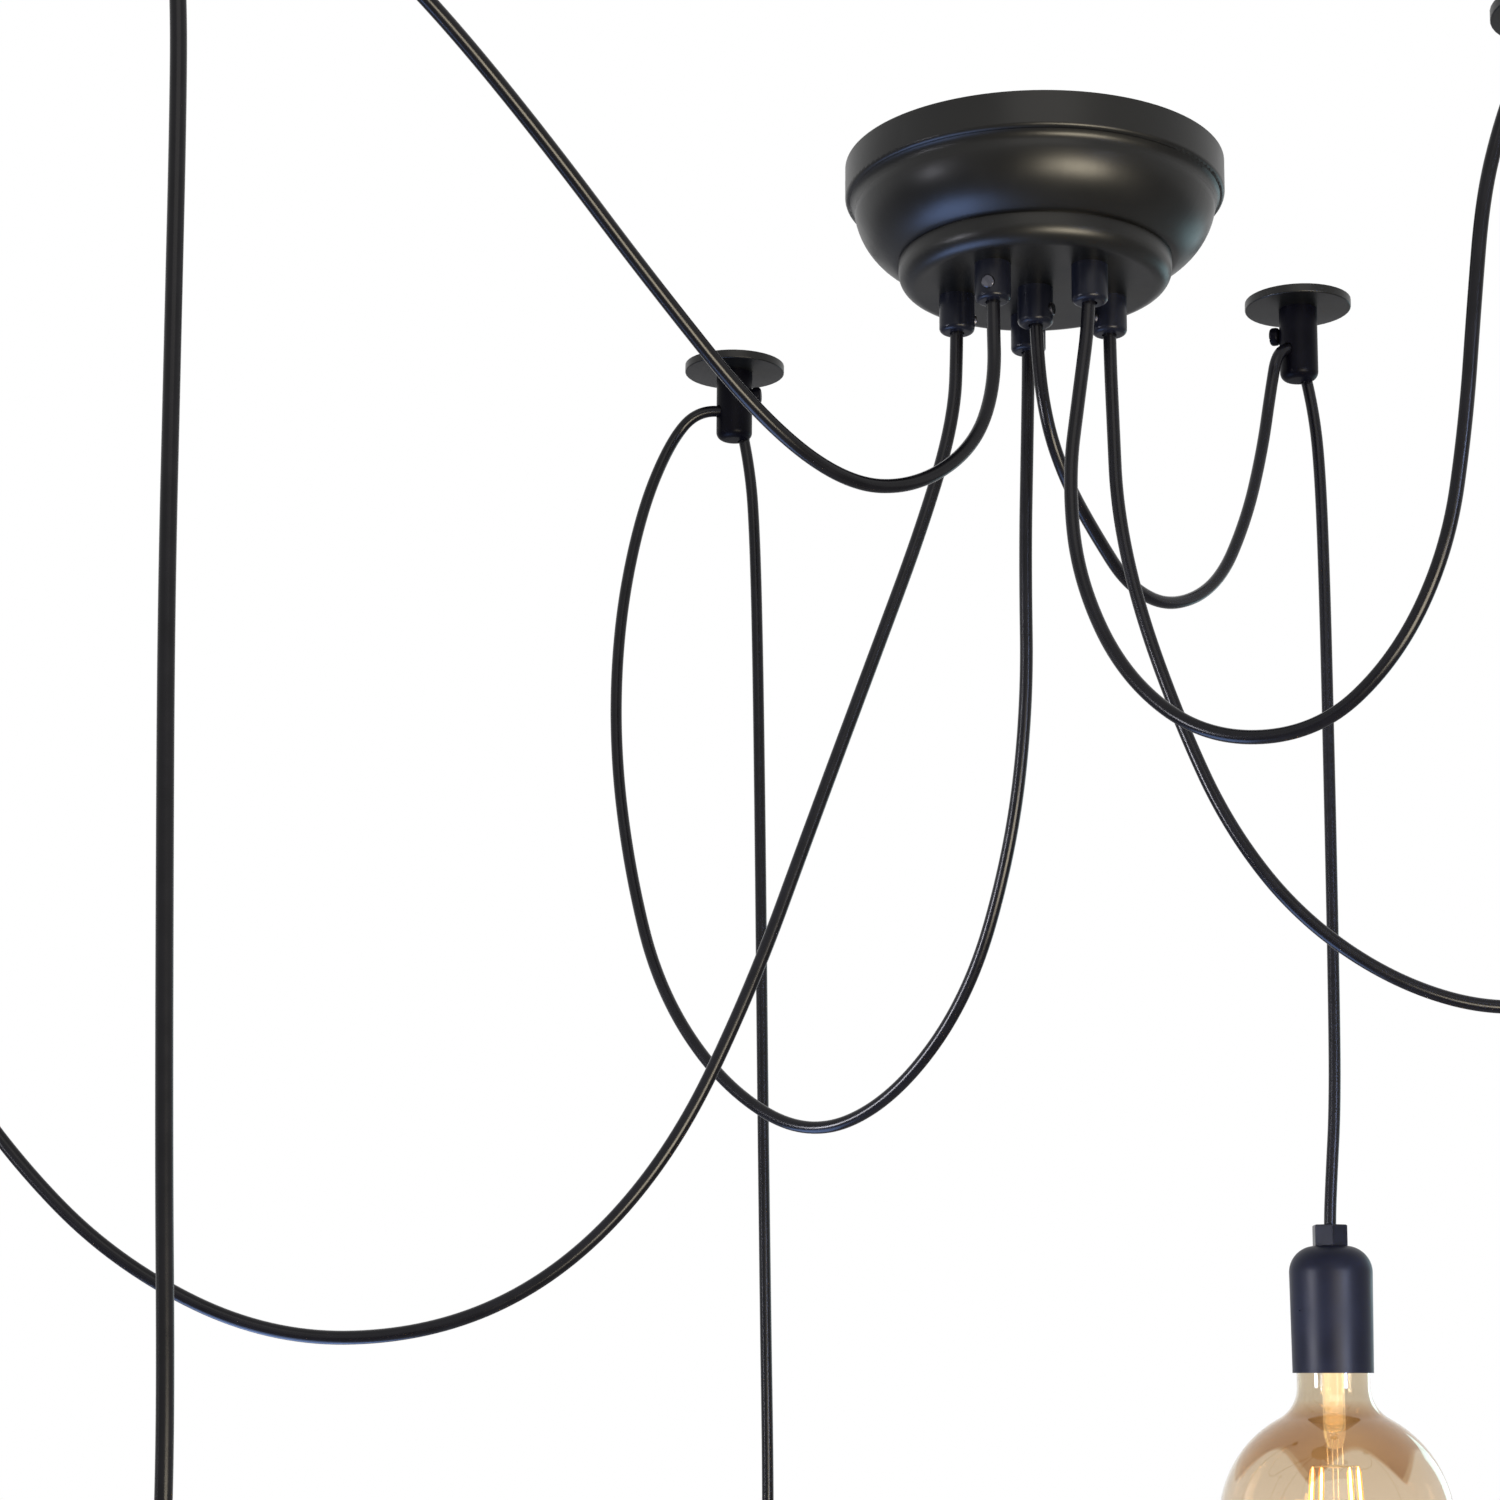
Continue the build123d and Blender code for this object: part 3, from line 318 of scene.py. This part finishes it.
def lit_phosphor():
    """Phosphor strip, lit: pale yellow, with beads of brighter light under the coating."""
    material, tree = new_material("lit_phosphor_strip")
    place = add(tree, "ShaderNodeTexCoord").outputs["Object"]
    beads = add(tree, "ShaderNodeTexNoise", {
        "Vector": place, "Scale": per_mm(1.6), "Detail": 1.0})
    colour = ramp(tree, beads.outputs["Fac"], [(0.3, "#ffe7b4"), (0.7, "#fff6de")])
    shader = add(tree, "ShaderNodeBsdfPrincipled", {
        "Base Color": linear("#f2c15a"), "Roughness": 0.6,
        "Emission Color": colour.outputs["Color"], "Emission Strength": 8.0})
    surface(tree, shader)
    return material


def lit_silicone():
    """Clear silicone coat round a lit strip: it spreads an orange light, streaked along."""
    material, tree = new_material("lit_silicone_coat")
    place = add(tree, "ShaderNodeTexCoord").outputs["Object"]
    along = add(tree, "ShaderNodeMapping", {"Vector": place, "Scale": (1.0, 1.0, 0.2)})
    streaks = add(tree, "ShaderNodeTexNoise", {
        "Vector": along.outputs["Vector"], "Scale": per_mm(1.2), "Detail": 1.0})
    colour = ramp(tree, streaks.outputs["Fac"], [(0.3, "#ff8f12"), (0.7, "#ffa52c")])
    shader = add(tree, "ShaderNodeBsdfPrincipled", {
        "Base Color": linear("#ffe2a8"), "Roughness": 0.15, "IOR": 1.1,
        "Transmission Weight": 1.0, "Emission Color": colour.outputs["Color"],
        "Emission Strength": 0.8})
    surface(tree, shader)
    return material


def core_and_shell(name, seat_z, hair=0.02 * MM):
    """One lampholder insert: glazed white ceramic above its seat, rolled brass below.
    The split lies a hair under the seat, so that the core's flat foot is ceramic."""
    material, tree = new_material(name)
    place = add(tree, "ShaderNodeTexCoord").outputs["Object"]
    split = add(tree, "ShaderNodeSeparateXYZ", {"Vector": place})
    ceramic = add(tree, "ShaderNodeMath", {
        0: split.outputs["Z"], 1: seat_z - hair}, operation="GREATER_THAN")
    speckle = add(tree, "ShaderNodeTexNoise", {
        "Vector": place, "Scale": per_mm(0.8), "Detail": 2.0})
    glaze = ramp(tree, speckle.outputs["Fac"], [(0.3, "#e6e0d2"), (0.7, "#f2ede2")])
    brass = ramp(tree, speckle.outputs["Fac"], [(0.3, "#b28c4a"), (0.7, "#cba866")])
    colour = add(tree, "ShaderNodeMix", {
        MIX_SHARE: ceramic.outputs["Value"], MIX_A: brass.outputs["Color"],
        MIX_B: glaze.outputs["Color"]}, data_type="RGBA")
    metal = add(tree, "ShaderNodeMath", {
        0: 1.0, 1: ceramic.outputs["Value"]}, operation="SUBTRACT")
    shader = add(tree, "ShaderNodeBsdfPrincipled", {
        "Base Color": colour.outputs[MIX_RESULT], "Metallic": metal.outputs["Value"],
        "Roughness": 0.24})
    surface(tree, shader)
    return material


def floor_paint():
    """Matt pale floor paint, faintly mottled, which keeps the shadows."""
    material, tree = new_material("pale_floor_paint")
    place = add(tree, "ShaderNodeTexCoord").outputs["Object"]
    mottle = add(tree, "ShaderNodeTexNoise", {
        "Vector": place, "Scale": per_mm(400.0), "Detail": 2.0})
    colour = ramp(tree, mottle.outputs["Fac"], [(0.3, "#f4f4f3"), (0.7, "#fafaf9")])
    surface(tree, add(tree, "ShaderNodeBsdfPrincipled", {
        "Base Color": colour.outputs["Color"], "Roughness": 0.9,
        "Specular IOR Level": 0.1}))
    return material


def paint(obj, material):
    """Gives an object the material in its one slot."""
    obj.data.materials.clear()
    obj.data.materials.append(material)
    return obj


# Satin black powder coat: even fine orange peel, broad soft highlights.
POWDER_COAT = grained("satin_black_powder_coat", "#060606", "#0b0b0a", 1.3, 0.010, 0.36,
                      own={"Specular IOR Level": 0.28})
# Moulded black nylon of the grips: tighter sheen and a finer skin.
NYLON = grained("moulded_black_nylon", "#0c0e17", "#11131d", 0.7, 0.006, 0.3, 12.0,
                own={"Specular IOR Level": 0.14})
# The hooks' stems and screws are moulded in a deeper black with a duller skin.
HOOK_NYLON = grained("dull_black_nylon", "#040409", "#08080f", 0.7, 0.006, 0.38, 12.0,
                     own={"Specular IOR Level": 0.05})
# Black zinc plate on the small slotted screws: a dark metal with a faint shine.
BLACK_ZINC = grained("black_zinc_plate", "#46464d", "#5e5e66", 0.8, 0.006, 0.36, 6.0,
                     own={"Metallic": 1.0})
# Matt coat of the lampholders, a little bluer than the canopy.
HOLDER_COAT = grained("matt_navy_black_lampholder_coat", "#0a0c18", "#0f1220", 0.9, 0.008,
                      0.42, 18.0, own={"Specular IOR Level": 0.14})
# Extruded PVC sheath of the cords: smooth, so its highlight is a narrow stripe.
CORD_SHEATH = grained("extruded_black_sheath", "#08080c", "#0d0d12", 0.9, 0.003, 0.24, 9.0,
                      own={"Specular IOR Level": 0.18})
# Bright zinc plate on the hidden strap and nuts.
ZINC = grained("bright_zinc_plate", "#a9adb2", "#c3c6c9", 2.0, 0.01, 0.3,
               own={"Metallic": 1.0})
# Rolled brass of the caps and the earth screw.
BRASS = grained("rolled_brass", "#b28c4a", "#cba866", 1.5, 0.008, 0.26,
                own={"Metallic": 1.0})
# Moulded off-white nylon of the terminal block.
WHITE_NYLON = grained("moulded_white_nylon", "#dcdad2", "#e8e6df", 1.0, 0.01, 0.5)
# Coloured insulation of the core leads inside the canopy.
LEAD_PVC = grained("lead_insulation_pvc", "#3f4f80", "#4a5b92", 0.8, 0.008, 0.45)
GLASS = amber_glass()
STEM_GLASS = drawn_glass()
PHOSPHOR = lit_phosphor()
SILICONE = lit_silicone()
# Nickel-plated iron wire inside the bulb, with a painted glow: a faint emission stands in
# for the light of the strips.
BULB_WIRE = grained("nickel_wire_painted_glow", "#b9ad98", "#d8ccb4", 0.5, 0.004, 0.3, 4.0,
                    own={"Metallic": 1.0, "Emission Color": linear("#f6e2bc"),
                         "Emission Strength": 0.4})


# ---------------------------------------------------------------- mesh code
SAME_POINT = 1e-7               # points closer than this are one
ON_AXIS = 1e-9                  # a smaller radius is a point on the axis
SIDEWAYS = np.array([0.0, 0.6, 0.8])    # no bar runs along this direction


def even_shading(sharp_degrees=30.0, join_distance=2e-6):
    """Geometry nodes that join a CAD node's loose triangles and shade them smooth, with
    the edges that turn by more than the given angle kept sharp."""
    tree = bpy.data.node_groups.new("even_shading", "GeometryNodeTree")
    for way in ("INPUT", "OUTPUT"):
        tree.interface.new_socket("Geometry", in_out=way, socket_type="NodeSocketGeometry")
    source = add(tree, "NodeGroupInput")
    joined = add(tree, "GeometryNodeMergeByDistance", {
        "Geometry": source.outputs[0], "Distance": join_distance})
    plain = add(tree, "GeometryNodeRemoveAttribute", {
        "Geometry": joined.outputs[0], "Name": "custom_normal"})
    smooth = add(tree, "GeometryNodeSetShadeSmooth", {
        "Geometry": plain.outputs[0], "Shade Smooth": True}, domain="FACE")
    turn = add(tree, "GeometryNodeInputMeshEdgeAngle")
    steep = add(tree, "FunctionNodeCompare", {
        0: turn.outputs["Unsigned Angle"], 1: math.radians(sharp_degrees)},
        data_type="FLOAT", operation="GREATER_THAN")
    edged = add(tree, "GeometryNodeSetShadeSmooth", {
        "Geometry": smooth.outputs[0], "Selection": steep.outputs[0],
        "Shade Smooth": False}, domain="EDGE")
    add(tree, "NodeGroupOutput", {0: edged.outputs[0]})
    return tree


def link(name, data, material):
    """Puts a mesh or a curve in the scene, with its material."""
    obj = bpy.data.objects.new(name, data)
    bpy.context.scene.collection.objects.link(obj)
    data.materials.append(material)
    return obj


def turned(name, profile, centre, material, segments):
    """Surface of revolution about the upright line through centre. Each profile point
    (radius, height), in metres, is carried round at equal angles; neighbouring rings are
    joined, and the last ring to the first. Rings on the axis shrink to one point."""
    radius, height = np.array(profile, float).T
    angle = np.linspace(0.0, 2.0 * np.pi, segments, endpoint=False)
    points = np.stack([
        centre[0] + radius[:, None] * np.cos(angle),
        centre[1] + radius[:, None] * np.sin(angle),
        np.broadcast_to(height[:, None], (len(radius), segments)),
    ], axis=-1).reshape(-1, 3)
    here = np.arange(len(points)).reshape(len(radius), segments)
    below = np.roll(here, -1, axis=0)
    on_axis = radius < ON_AXIS
    keep = ~(on_axis & np.roll(on_axis, -1))
    quads = np.stack([
        here, below, np.roll(below, -1, axis=1), np.roll(here, -1, axis=1)], axis=-1)
    mesh = bpy.data.meshes.new(name)
    mesh.from_pydata(points, [], quads[keep].reshape(-1, 4))
    joined = bmesh.new()
    joined.from_mesh(mesh)
    bmesh.ops.remove_doubles(joined, verts=joined.verts, dist=SAME_POINT)
    joined.to_mesh(mesh)
    joined.free()
    mesh.shade_smooth()
    return link(name, mesh, material)


def mark_painted_reflection(globe, centre):
    """Two heights at each point of the glass, for its tint and for its painted reflection,
    a brown band that stands in for dark reflections: the depth below the mouth, and the
    height above the band's lower edge. The edge is scalloped: it rises above its cusps by
    the scallops' rise times the size of a sine, whose angle is the point's own angle times
    half the number of scallops, plus the phase."""
    mesh = globe.data
    places = np.empty(3 * len(mesh.vertices))
    mesh.vertices.foreach_get("co", places)
    x, y, z = places.reshape(-1, 3).T - centre[:, None]
    wave = np.abs(np.sin(SCALLOPS / 2 * np.arctan2(y, x) + SCALLOP_PHASE))
    values = {"below_mouth": -z, "above_scallop": z + CUSP_DROP - SCALLOP_RISE * wave}
    for name, heights in values.items():
        mesh.attributes.new(name, "FLOAT", "POINT").data.foreach_set(
            "value", heights.astype(np.float32))
    return globe


def arc(centre, radius, start_degrees, end_degrees, count):
    """Points (radius, height) along an arc in the half plane of a turned profile."""
    turn = np.radians(np.linspace(start_degrees, end_degrees, count))
    return np.stack([
        centre[0] + radius * np.cos(turn), centre[1] + radius * np.sin(turn)], -1)


def tubes(name, paths, radii, material, sides, squash=1.0):
    """Closed bars along paths, all of one point count: at every path point stands a ring
    of the given radius, square to the path and flattened one way by the squash; the
    rings are joined, and each end is closed with one face."""
    paths = np.asarray(paths, float)
    radii = np.broadcast_to(np.asarray(radii, float), paths.shape[:2])
    ahead = np.gradient(paths, axis=1)
    ahead /= np.linalg.norm(ahead, axis=-1, keepdims=True)
    across = np.cross(ahead, SIDEWAYS)
    across /= np.linalg.norm(across, axis=-1, keepdims=True)
    up = np.cross(across, ahead)
    angle = np.linspace(0.0, 2.0 * np.pi, sides, endpoint=False)
    ring = (across[..., None, :] * np.cos(angle)[:, None]
            + up[..., None, :] * np.sin(angle)[:, None] * squash)
    points = paths[..., None, :] + ring * radii[..., None, None]
    bars, length = paths.shape[:2]
    index = np.arange(bars * length * sides).reshape(bars, length, sides)
    quads = np.stack([
        index[:, :-1], index[:, 1:], np.roll(index, -1, 2)[:, 1:],
        np.roll(index, -1, 2)[:, :-1]], axis=-1).reshape(-1, 4)
    caps = np.concatenate([index[:, 0], index[:, -1, ::-1]])
    mesh = bpy.data.meshes.new(name)
    mesh.from_pydata(points.reshape(-1, 3), [], quads.tolist() + caps.tolist())
    mesh.shade_smooth()
    return link(name, mesh, material)


# ---------------------------------------------------------------- camera
CAMERA_PLACE = (-0.0695, -1.207, -0.5035)
CAMERA_TILT = 8.96              # degrees above level
LENS_MM, SENSOR_MM = 72.0, 36.0
LENS_SHIFT = (-0.08, 0.10)      # of the sensor's width


def make_camera():
    """The photograph's viewpoint: below the canopy, looking slightly up."""
    data = bpy.data.cameras.new("camera")
    data.lens, data.sensor_width = LENS_MM, SENSOR_MM
    data.shift_x, data.shift_y = LENS_SHIFT
    camera = bpy.data.objects.new("camera", data)
    camera.location = CAMERA_PLACE
    camera.rotation_euler = (math.radians(90 + CAMERA_TILT), 0.0, 0.0)
    bpy.context.scene.collection.objects.link(camera)
    bpy.context.scene.camera = camera


make_camera()
bpy.context.scene.view_settings.view_transform = "Standard"


# ---------------------------------------------------------------- cords
ROUND_STEPS = 6                 # a cord has 4 sides, and two more for each step
LENGTH_STEPS = 16               # between two points of a cord's route


def cord_curve(name, points, material):
    """A round cord on one smooth line: a NURBS spline with the route's points as its
    control points."""
    curve = bpy.data.curves.new(name, "CURVE")
    curve.dimensions = "3D"
    curve.bevel_depth = CORD_D / 2
    curve.bevel_resolution = ROUND_STEPS
    curve.use_fill_caps = True
    curve.resolution_u = LENGTH_STEPS
    curve.render_resolution_u = LENGTH_STEPS
    spline = curve.splines.new("NURBS")
    spline.points.add(len(points) - 1)
    for place, point in zip(spline.points, points):
        place.co = (*point, 1.0)
    spline.order_u = 3
    spline.use_endpoint_u = True
    return link(name, curve, material)


def dress(piece, body, node):
    """Puts a piece on its body in place of a CAD node, which is hidden."""
    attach(piece, body)
    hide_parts(node)
    return piece


for name in PENDANTS:
    swag = dress(cord_curve(f"swag_sheath_{name}", SWAG_POINTS[name], CORD_SHEATH),
                 "ceiling_parts", f"swag_cord_{name}")
    drop = dress(cord_curve(f"drop_sheath_{name}", DROP_POINTS[name], CORD_SHEATH),
                 f"pendant_{name}", f"drop_cord_{name}")


# ---------------------------------------------------------------- carried-over nodes
def mouth_height(name):
    """Height of a lampholder's mouth: its drop cord ends on the ceramic core's top."""
    return DROP_POINTS[name][-1][2] - CORE_TOP


NODE_MATERIALS = {
    "canopy_cover": POWDER_COAT, "ceiling_bracket": ZINC, "cover_screws": POWDER_COAT,
    "earth_screw": BRASS, "terminal_block": WHITE_NYLON, "core_leads": LEAD_PVC,
    "cord_grips": NYLON, "grip_nuts": ZINC, "grip_screws": BLACK_ZINC,
    "hook_plates": POWDER_COAT, "hook_stems": HOOK_NYLON, "hook_screws": HOOK_NYLON,
}
for name in PENDANTS:
    NODE_MATERIALS[f"holder_grip_{name}"] = NYLON
    NODE_MATERIALS[f"holder_shell_{name}"] = HOLDER_COAT
    NODE_MATERIALS[f"bulb_cap_{name}"] = BRASS
    NODE_MATERIALS[f"holder_insert_{name}"] = core_and_shell(
        f"ceramic_and_brass_{name}", mouth_height(name) + CORE_SEAT)
SHADING = even_shading()
for name, material in NODE_MATERIALS.items():
    node = paint(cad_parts[name], material)
    node.modifiers.new("even_shading", "NODES").node_group = SHADING


# ---------------------------------------------------------------- bulbs
# Profiles as (radius, height): of the stem's glass about the lampholder's mouth, and of
# a wire hub about its own middle.
STEM_OUTSIDE = np.array([
    (0.0, 12.6), (11.2, 12.6), (11.2, 12.0), (10.2, 11.4), (7.0, 10.6), (5.6, 9.0),
    (5.1, 6.0), (5.0, 0.0), (5.0, -10.0), (5.0, -20.0), (5.0, -26.5), (4.8, -28.4),
    (4.2, -30.2), (3.7, -31.8), (3.2, -33.0), (1.6, -33.6), (0.0, -33.8)]) * MM
STEM_INSIDE = np.array([
    (0.0, -27.0), (2.4, -26.4), (3.7, -24.6), (4.1, -22.0), (4.1, -10.0), (4.1, 0.0),
    (4.2, 6.0), (4.8, 9.6), (4.8, 11.4), (0.0, 11.5)]) * MM
HUB = np.array([
    (0.0, 0.6), (2.9, 0.6), (3.6, 0.35), (3.8, 0.0), (3.6, -0.35), (2.9, -0.6),
    (0.0, -0.6)]) * MM


def glass_profile():
    """Globe bulb's outside, from its open top down to the bottom pole, as (radius, height)
    about the lampholder's mouth: cap ledge, straight neck, hollow flare, round globe."""
    flare_x = NECK_R + FLARE_R
    flare_up = math.sqrt((GLOBE_R + FLARE_R) ** 2 - flare_x ** 2)
    lean = math.degrees(math.atan2(flare_up, flare_x))
    throat = flare_up - GLOBE_DROP
    ledge = np.array([
        (11.4, 12.0), (11.4, 10.0), (11.4, 9.2), (12.0, 8.4), (13.2, 7.2), (14.9, 5.2),
        (16.0, 3.6)]) * MM
    neck = np.array([(NECK_R, height * MM) for height in (2.0, 0.0, -2.0, -4.0)])
    flare = arc((flare_x, throat), FLARE_R, 180.0, 180.0 + lean, count=22)
    globe = arc((0.0, -GLOBE_DROP), GLOBE_R, lean, -90.0, count=90)[1:]
    outside = np.concatenate([ledge, neck, flare, globe])
    outside[-1, 0] = 0.0
    return outside


def shell(outside, wall):
    """A closed wall inside an outline that ends on the axis: each point is moved inwards
    by the wall, square to the outline, and the way back up is added."""
    along = np.gradient(outside, axis=0)
    along /= np.linalg.norm(along, axis=1, keepdims=True)
    inside = outside + np.stack([along[:, 1], -along[:, 0]], -1) * wall
    inside[0, 1] = outside[0, 1]
    inside[-1] = (0.0, outside[-1, 1] + wall)
    return np.concatenate([outside, inside[::-1]])


def ray_points(radius, height):
    """Places round the bulb's axis, at the strips' angles."""
    return np.stack([
        radius * np.cos(STRIP_ANGLES), radius * np.sin(STRIP_ANGLES),
        np.full(len(STRIP_ANGLES), height)], -1)


def straight_paths(starts, ends, count):
    """Straight lines of count points between two lists of places."""
    share = np.linspace(0.0, 1.0, count)[:, None]
    return np.asarray(starts)[:, None] * (1 - share) + np.asarray(ends)[:, None] * share


def make_bulb(name):
    """Glass, stem, wires and filament strips of one bulb, on its axis."""
    mouth_z = mouth_height(name)
    centre = np.array([*DROP_POINTS[name][-1][:2], mouth_z])
    body, filament = f"bulb_{name}", f"bulb_filament_{name}"
    globe = turned(f"bulb_globe_{name}", shell(glass_profile(), GLASS_WALL) + (0, mouth_z),
                   centre, GLASS, segments=144)
    # The globe's heights place its painted reflection, the brown band on the shoulder.
    dress(mark_painted_reflection(globe, centre), body, f"bulb_glass_{name}")
    dress(turned(f"bulb_stem_{name}",
                 np.concatenate([STEM_OUTSIDE, STEM_INSIDE]) + (0, mouth_z),
                 centre, STEM_GLASS, segments=48), body, filament)

    # Two outer wires reach the top hub and two inner ones the foot hub.
    ends = np.array([
        (-OUTER_WIRE_X, 0.0, TOP_HUB), (-INNER_WIRE_X, 0.0, FOOT_HUB),
        (INNER_WIRE_X, 0.0, FOOT_HUB), (OUTER_WIRE_X, 0.0, TOP_HUB)])
    starts = ends * (1.0, 1.0, 0.0) + (0.0, 0.0, WIRE_TOP)
    dress(tubes(f"bulb_wires_{name}", straight_paths(starts, ends, 12) + centre,
                WIRE_R, BULB_WIRE, sides=10), body, filament)

    # Thin spokes run from each hub to the strips' ends.
    top, foot = ray_points(STRIPS_TOP_R, TOP_HUB), ray_points(STRIPS_FOOT_R, FOOT_HUB)
    tips = np.concatenate([top, foot])
    roots = tips * (SPOKE_START, SPOKE_START, 1.0)
    dress(tubes(f"bulb_spokes_{name}", straight_paths(roots, tips, 8) + centre,
                SPOKE_R, BULB_WIRE, sides=8), body, filament)
    for label, hub in (("top", TOP_HUB), ("foot", FOOT_HUB)):
        dress(turned(f"bulb_hub_{label}_{name}", HUB + (0, mouth_z + hub), centre,
                     BULB_WIRE, segments=32), body, filament)

    # The strips are rounded bars that narrow to their welded ends, in a silicone coat.
    # The taper starts at its end share and is full two points on.
    count, end_share = 24, 0.35
    from_end = np.minimum(np.arange(count), np.arange(count)[::-1])
    taper = np.minimum(from_end / 2.0 + end_share, 1.0)
    for label, radius, material in (
            ("strips", STRIP_R, PHOSPHOR), ("coats", COAT_R, SILICONE)):
        dress(tubes(f"bulb_{label}_{name}", straight_paths(top, foot, count) + centre,
                    radius * taper, material, sides=14, squash=STRIP_FLATNESS),
              body, filament)


for name in PENDANTS:
    make_bulb(name)


# ---------------------------------------------------------------- stage and light
FLOOR_HALF = 12.0               # metres from its middle to an edge
FLOOR_LINES = 9                 # grid lines each way
FLOOR_Z = -1.9
AMBIENT = (0.4, 0.4, 0.42, 1.0)
WHITE = (1.0, 1.0, 1.0, 1.0)
CANOPY = (0.0, 0.0, -0.03)      # places that the lamps face
HOLDER = (0.14, 0.16, -0.42)


def make_floor():
    """A wide flat grid, well below the bulbs."""
    lines = np.linspace(-FLOOR_HALF, FLOOR_HALF, FLOOR_LINES)
    x, y = np.meshgrid(lines, lines)
    points = np.stack([x, y, np.full_like(x, FLOOR_Z)], -1).reshape(-1, 3)
    index = np.arange(x.size).reshape(x.shape)
    quads = np.stack([index[:-1, :-1], index[:-1, 1:], index[1:, 1:], index[1:, :-1]], -1)
    mesh = bpy.data.meshes.new("floor")
    mesh.from_pydata(points, [], quads.reshape(-1, 4))
    link("floor", mesh, floor_paint())


def make_world():
    """Soft studio light: white to the camera, in gloss and through glass, and a plain
    grey level for everything else."""
    world = bpy.data.worlds.new("studio")
    world.use_nodes = True
    bpy.context.scene.world = world
    tree = world.node_tree
    tree.nodes.clear()
    path = add(tree, "ShaderNodeLightPath")
    outright = add(tree, "ShaderNodeMath", {
        0: path.outputs["Is Camera Ray"], 1: path.outputs["Is Glossy Ray"]},
        operation="MAXIMUM")
    seen = add(tree, "ShaderNodeMath", {
        0: outright.outputs["Value"], 1: path.outputs["Is Transmission Ray"]},
        operation="MAXIMUM")
    light = add(tree, "ShaderNodeBackground", {"Color": AMBIENT})
    white = add(tree, "ShaderNodeBackground", {"Color": WHITE})
    mix = add(tree, "ShaderNodeMixShader", {
        0: seen.outputs["Value"], 1: light.outputs[0], 2: white.outputs[0]})
    add(tree, "ShaderNodeOutputWorld", {"Surface": mix.outputs[0]})


def softbox(name, place, aim, size, strength, colour, spread=180.0, through_glass=True):
    """A rectangular studio lamp that faces a point. Its power is the surface's brightness
    times its area times pi; a honeycomb narrows its spread, in degrees. A lamp that
    would show as a white panel through the globes isn't seen through glass."""
    data = bpy.data.lights.new(name, "AREA")
    data.shape = "RECTANGLE"
    data.size, data.size_y = size
    data.energy = strength * size[0] * size[1] * math.pi
    data.color = linear(colour)[:3]
    data.spread = math.radians(spread)
    lamp = bpy.data.objects.new(name, data)
    lamp.location = place
    lamp.rotation_mode = "QUATERNION"
    lamp.rotation_quaternion = (Vector(aim) - Vector(place)).to_track_quat("-Z", "Y")
    lamp.visible_camera = False
    lamp.visible_transmission = through_glass
    bpy.context.scene.collection.objects.link(lamp)


make_floor()
make_world()
softbox("warm_key", place=(0.56, -1.18, -0.82), aim=CANOPY, size=(0.85, 0.5),
        strength=26.0, colour="#fff2d6")
softbox("blue_side", place=(-0.55, 0.20, -1.05), aim=CANOPY, size=(0.7, 0.5),
        strength=10.0, colour="#90b0f0", through_glass=False)
softbox("teal_rim", place=(0.90, 1.10, -0.28), aim=CANOPY, size=(0.4, 0.5),
        strength=2.2, colour="#b0e0ea")
softbox("front_top", place=(0.1, -1.4, 0.55), aim=CANOPY, size=(1.2, 0.7),
        strength=1.4, colour="#fbf6ee")
softbox("left_strip", place=(-0.95, -0.35, -0.60), aim=HOLDER, size=(0.25, 0.7),
        strength=1.7, colour="#f4f4ff", spread=24.0)
softbox("right_strip", place=(0.74, -0.84, -0.55), aim=HOLDER, size=(0.22, 0.7),
        strength=1.5, colour="#a9bcf0", spread=24.0)
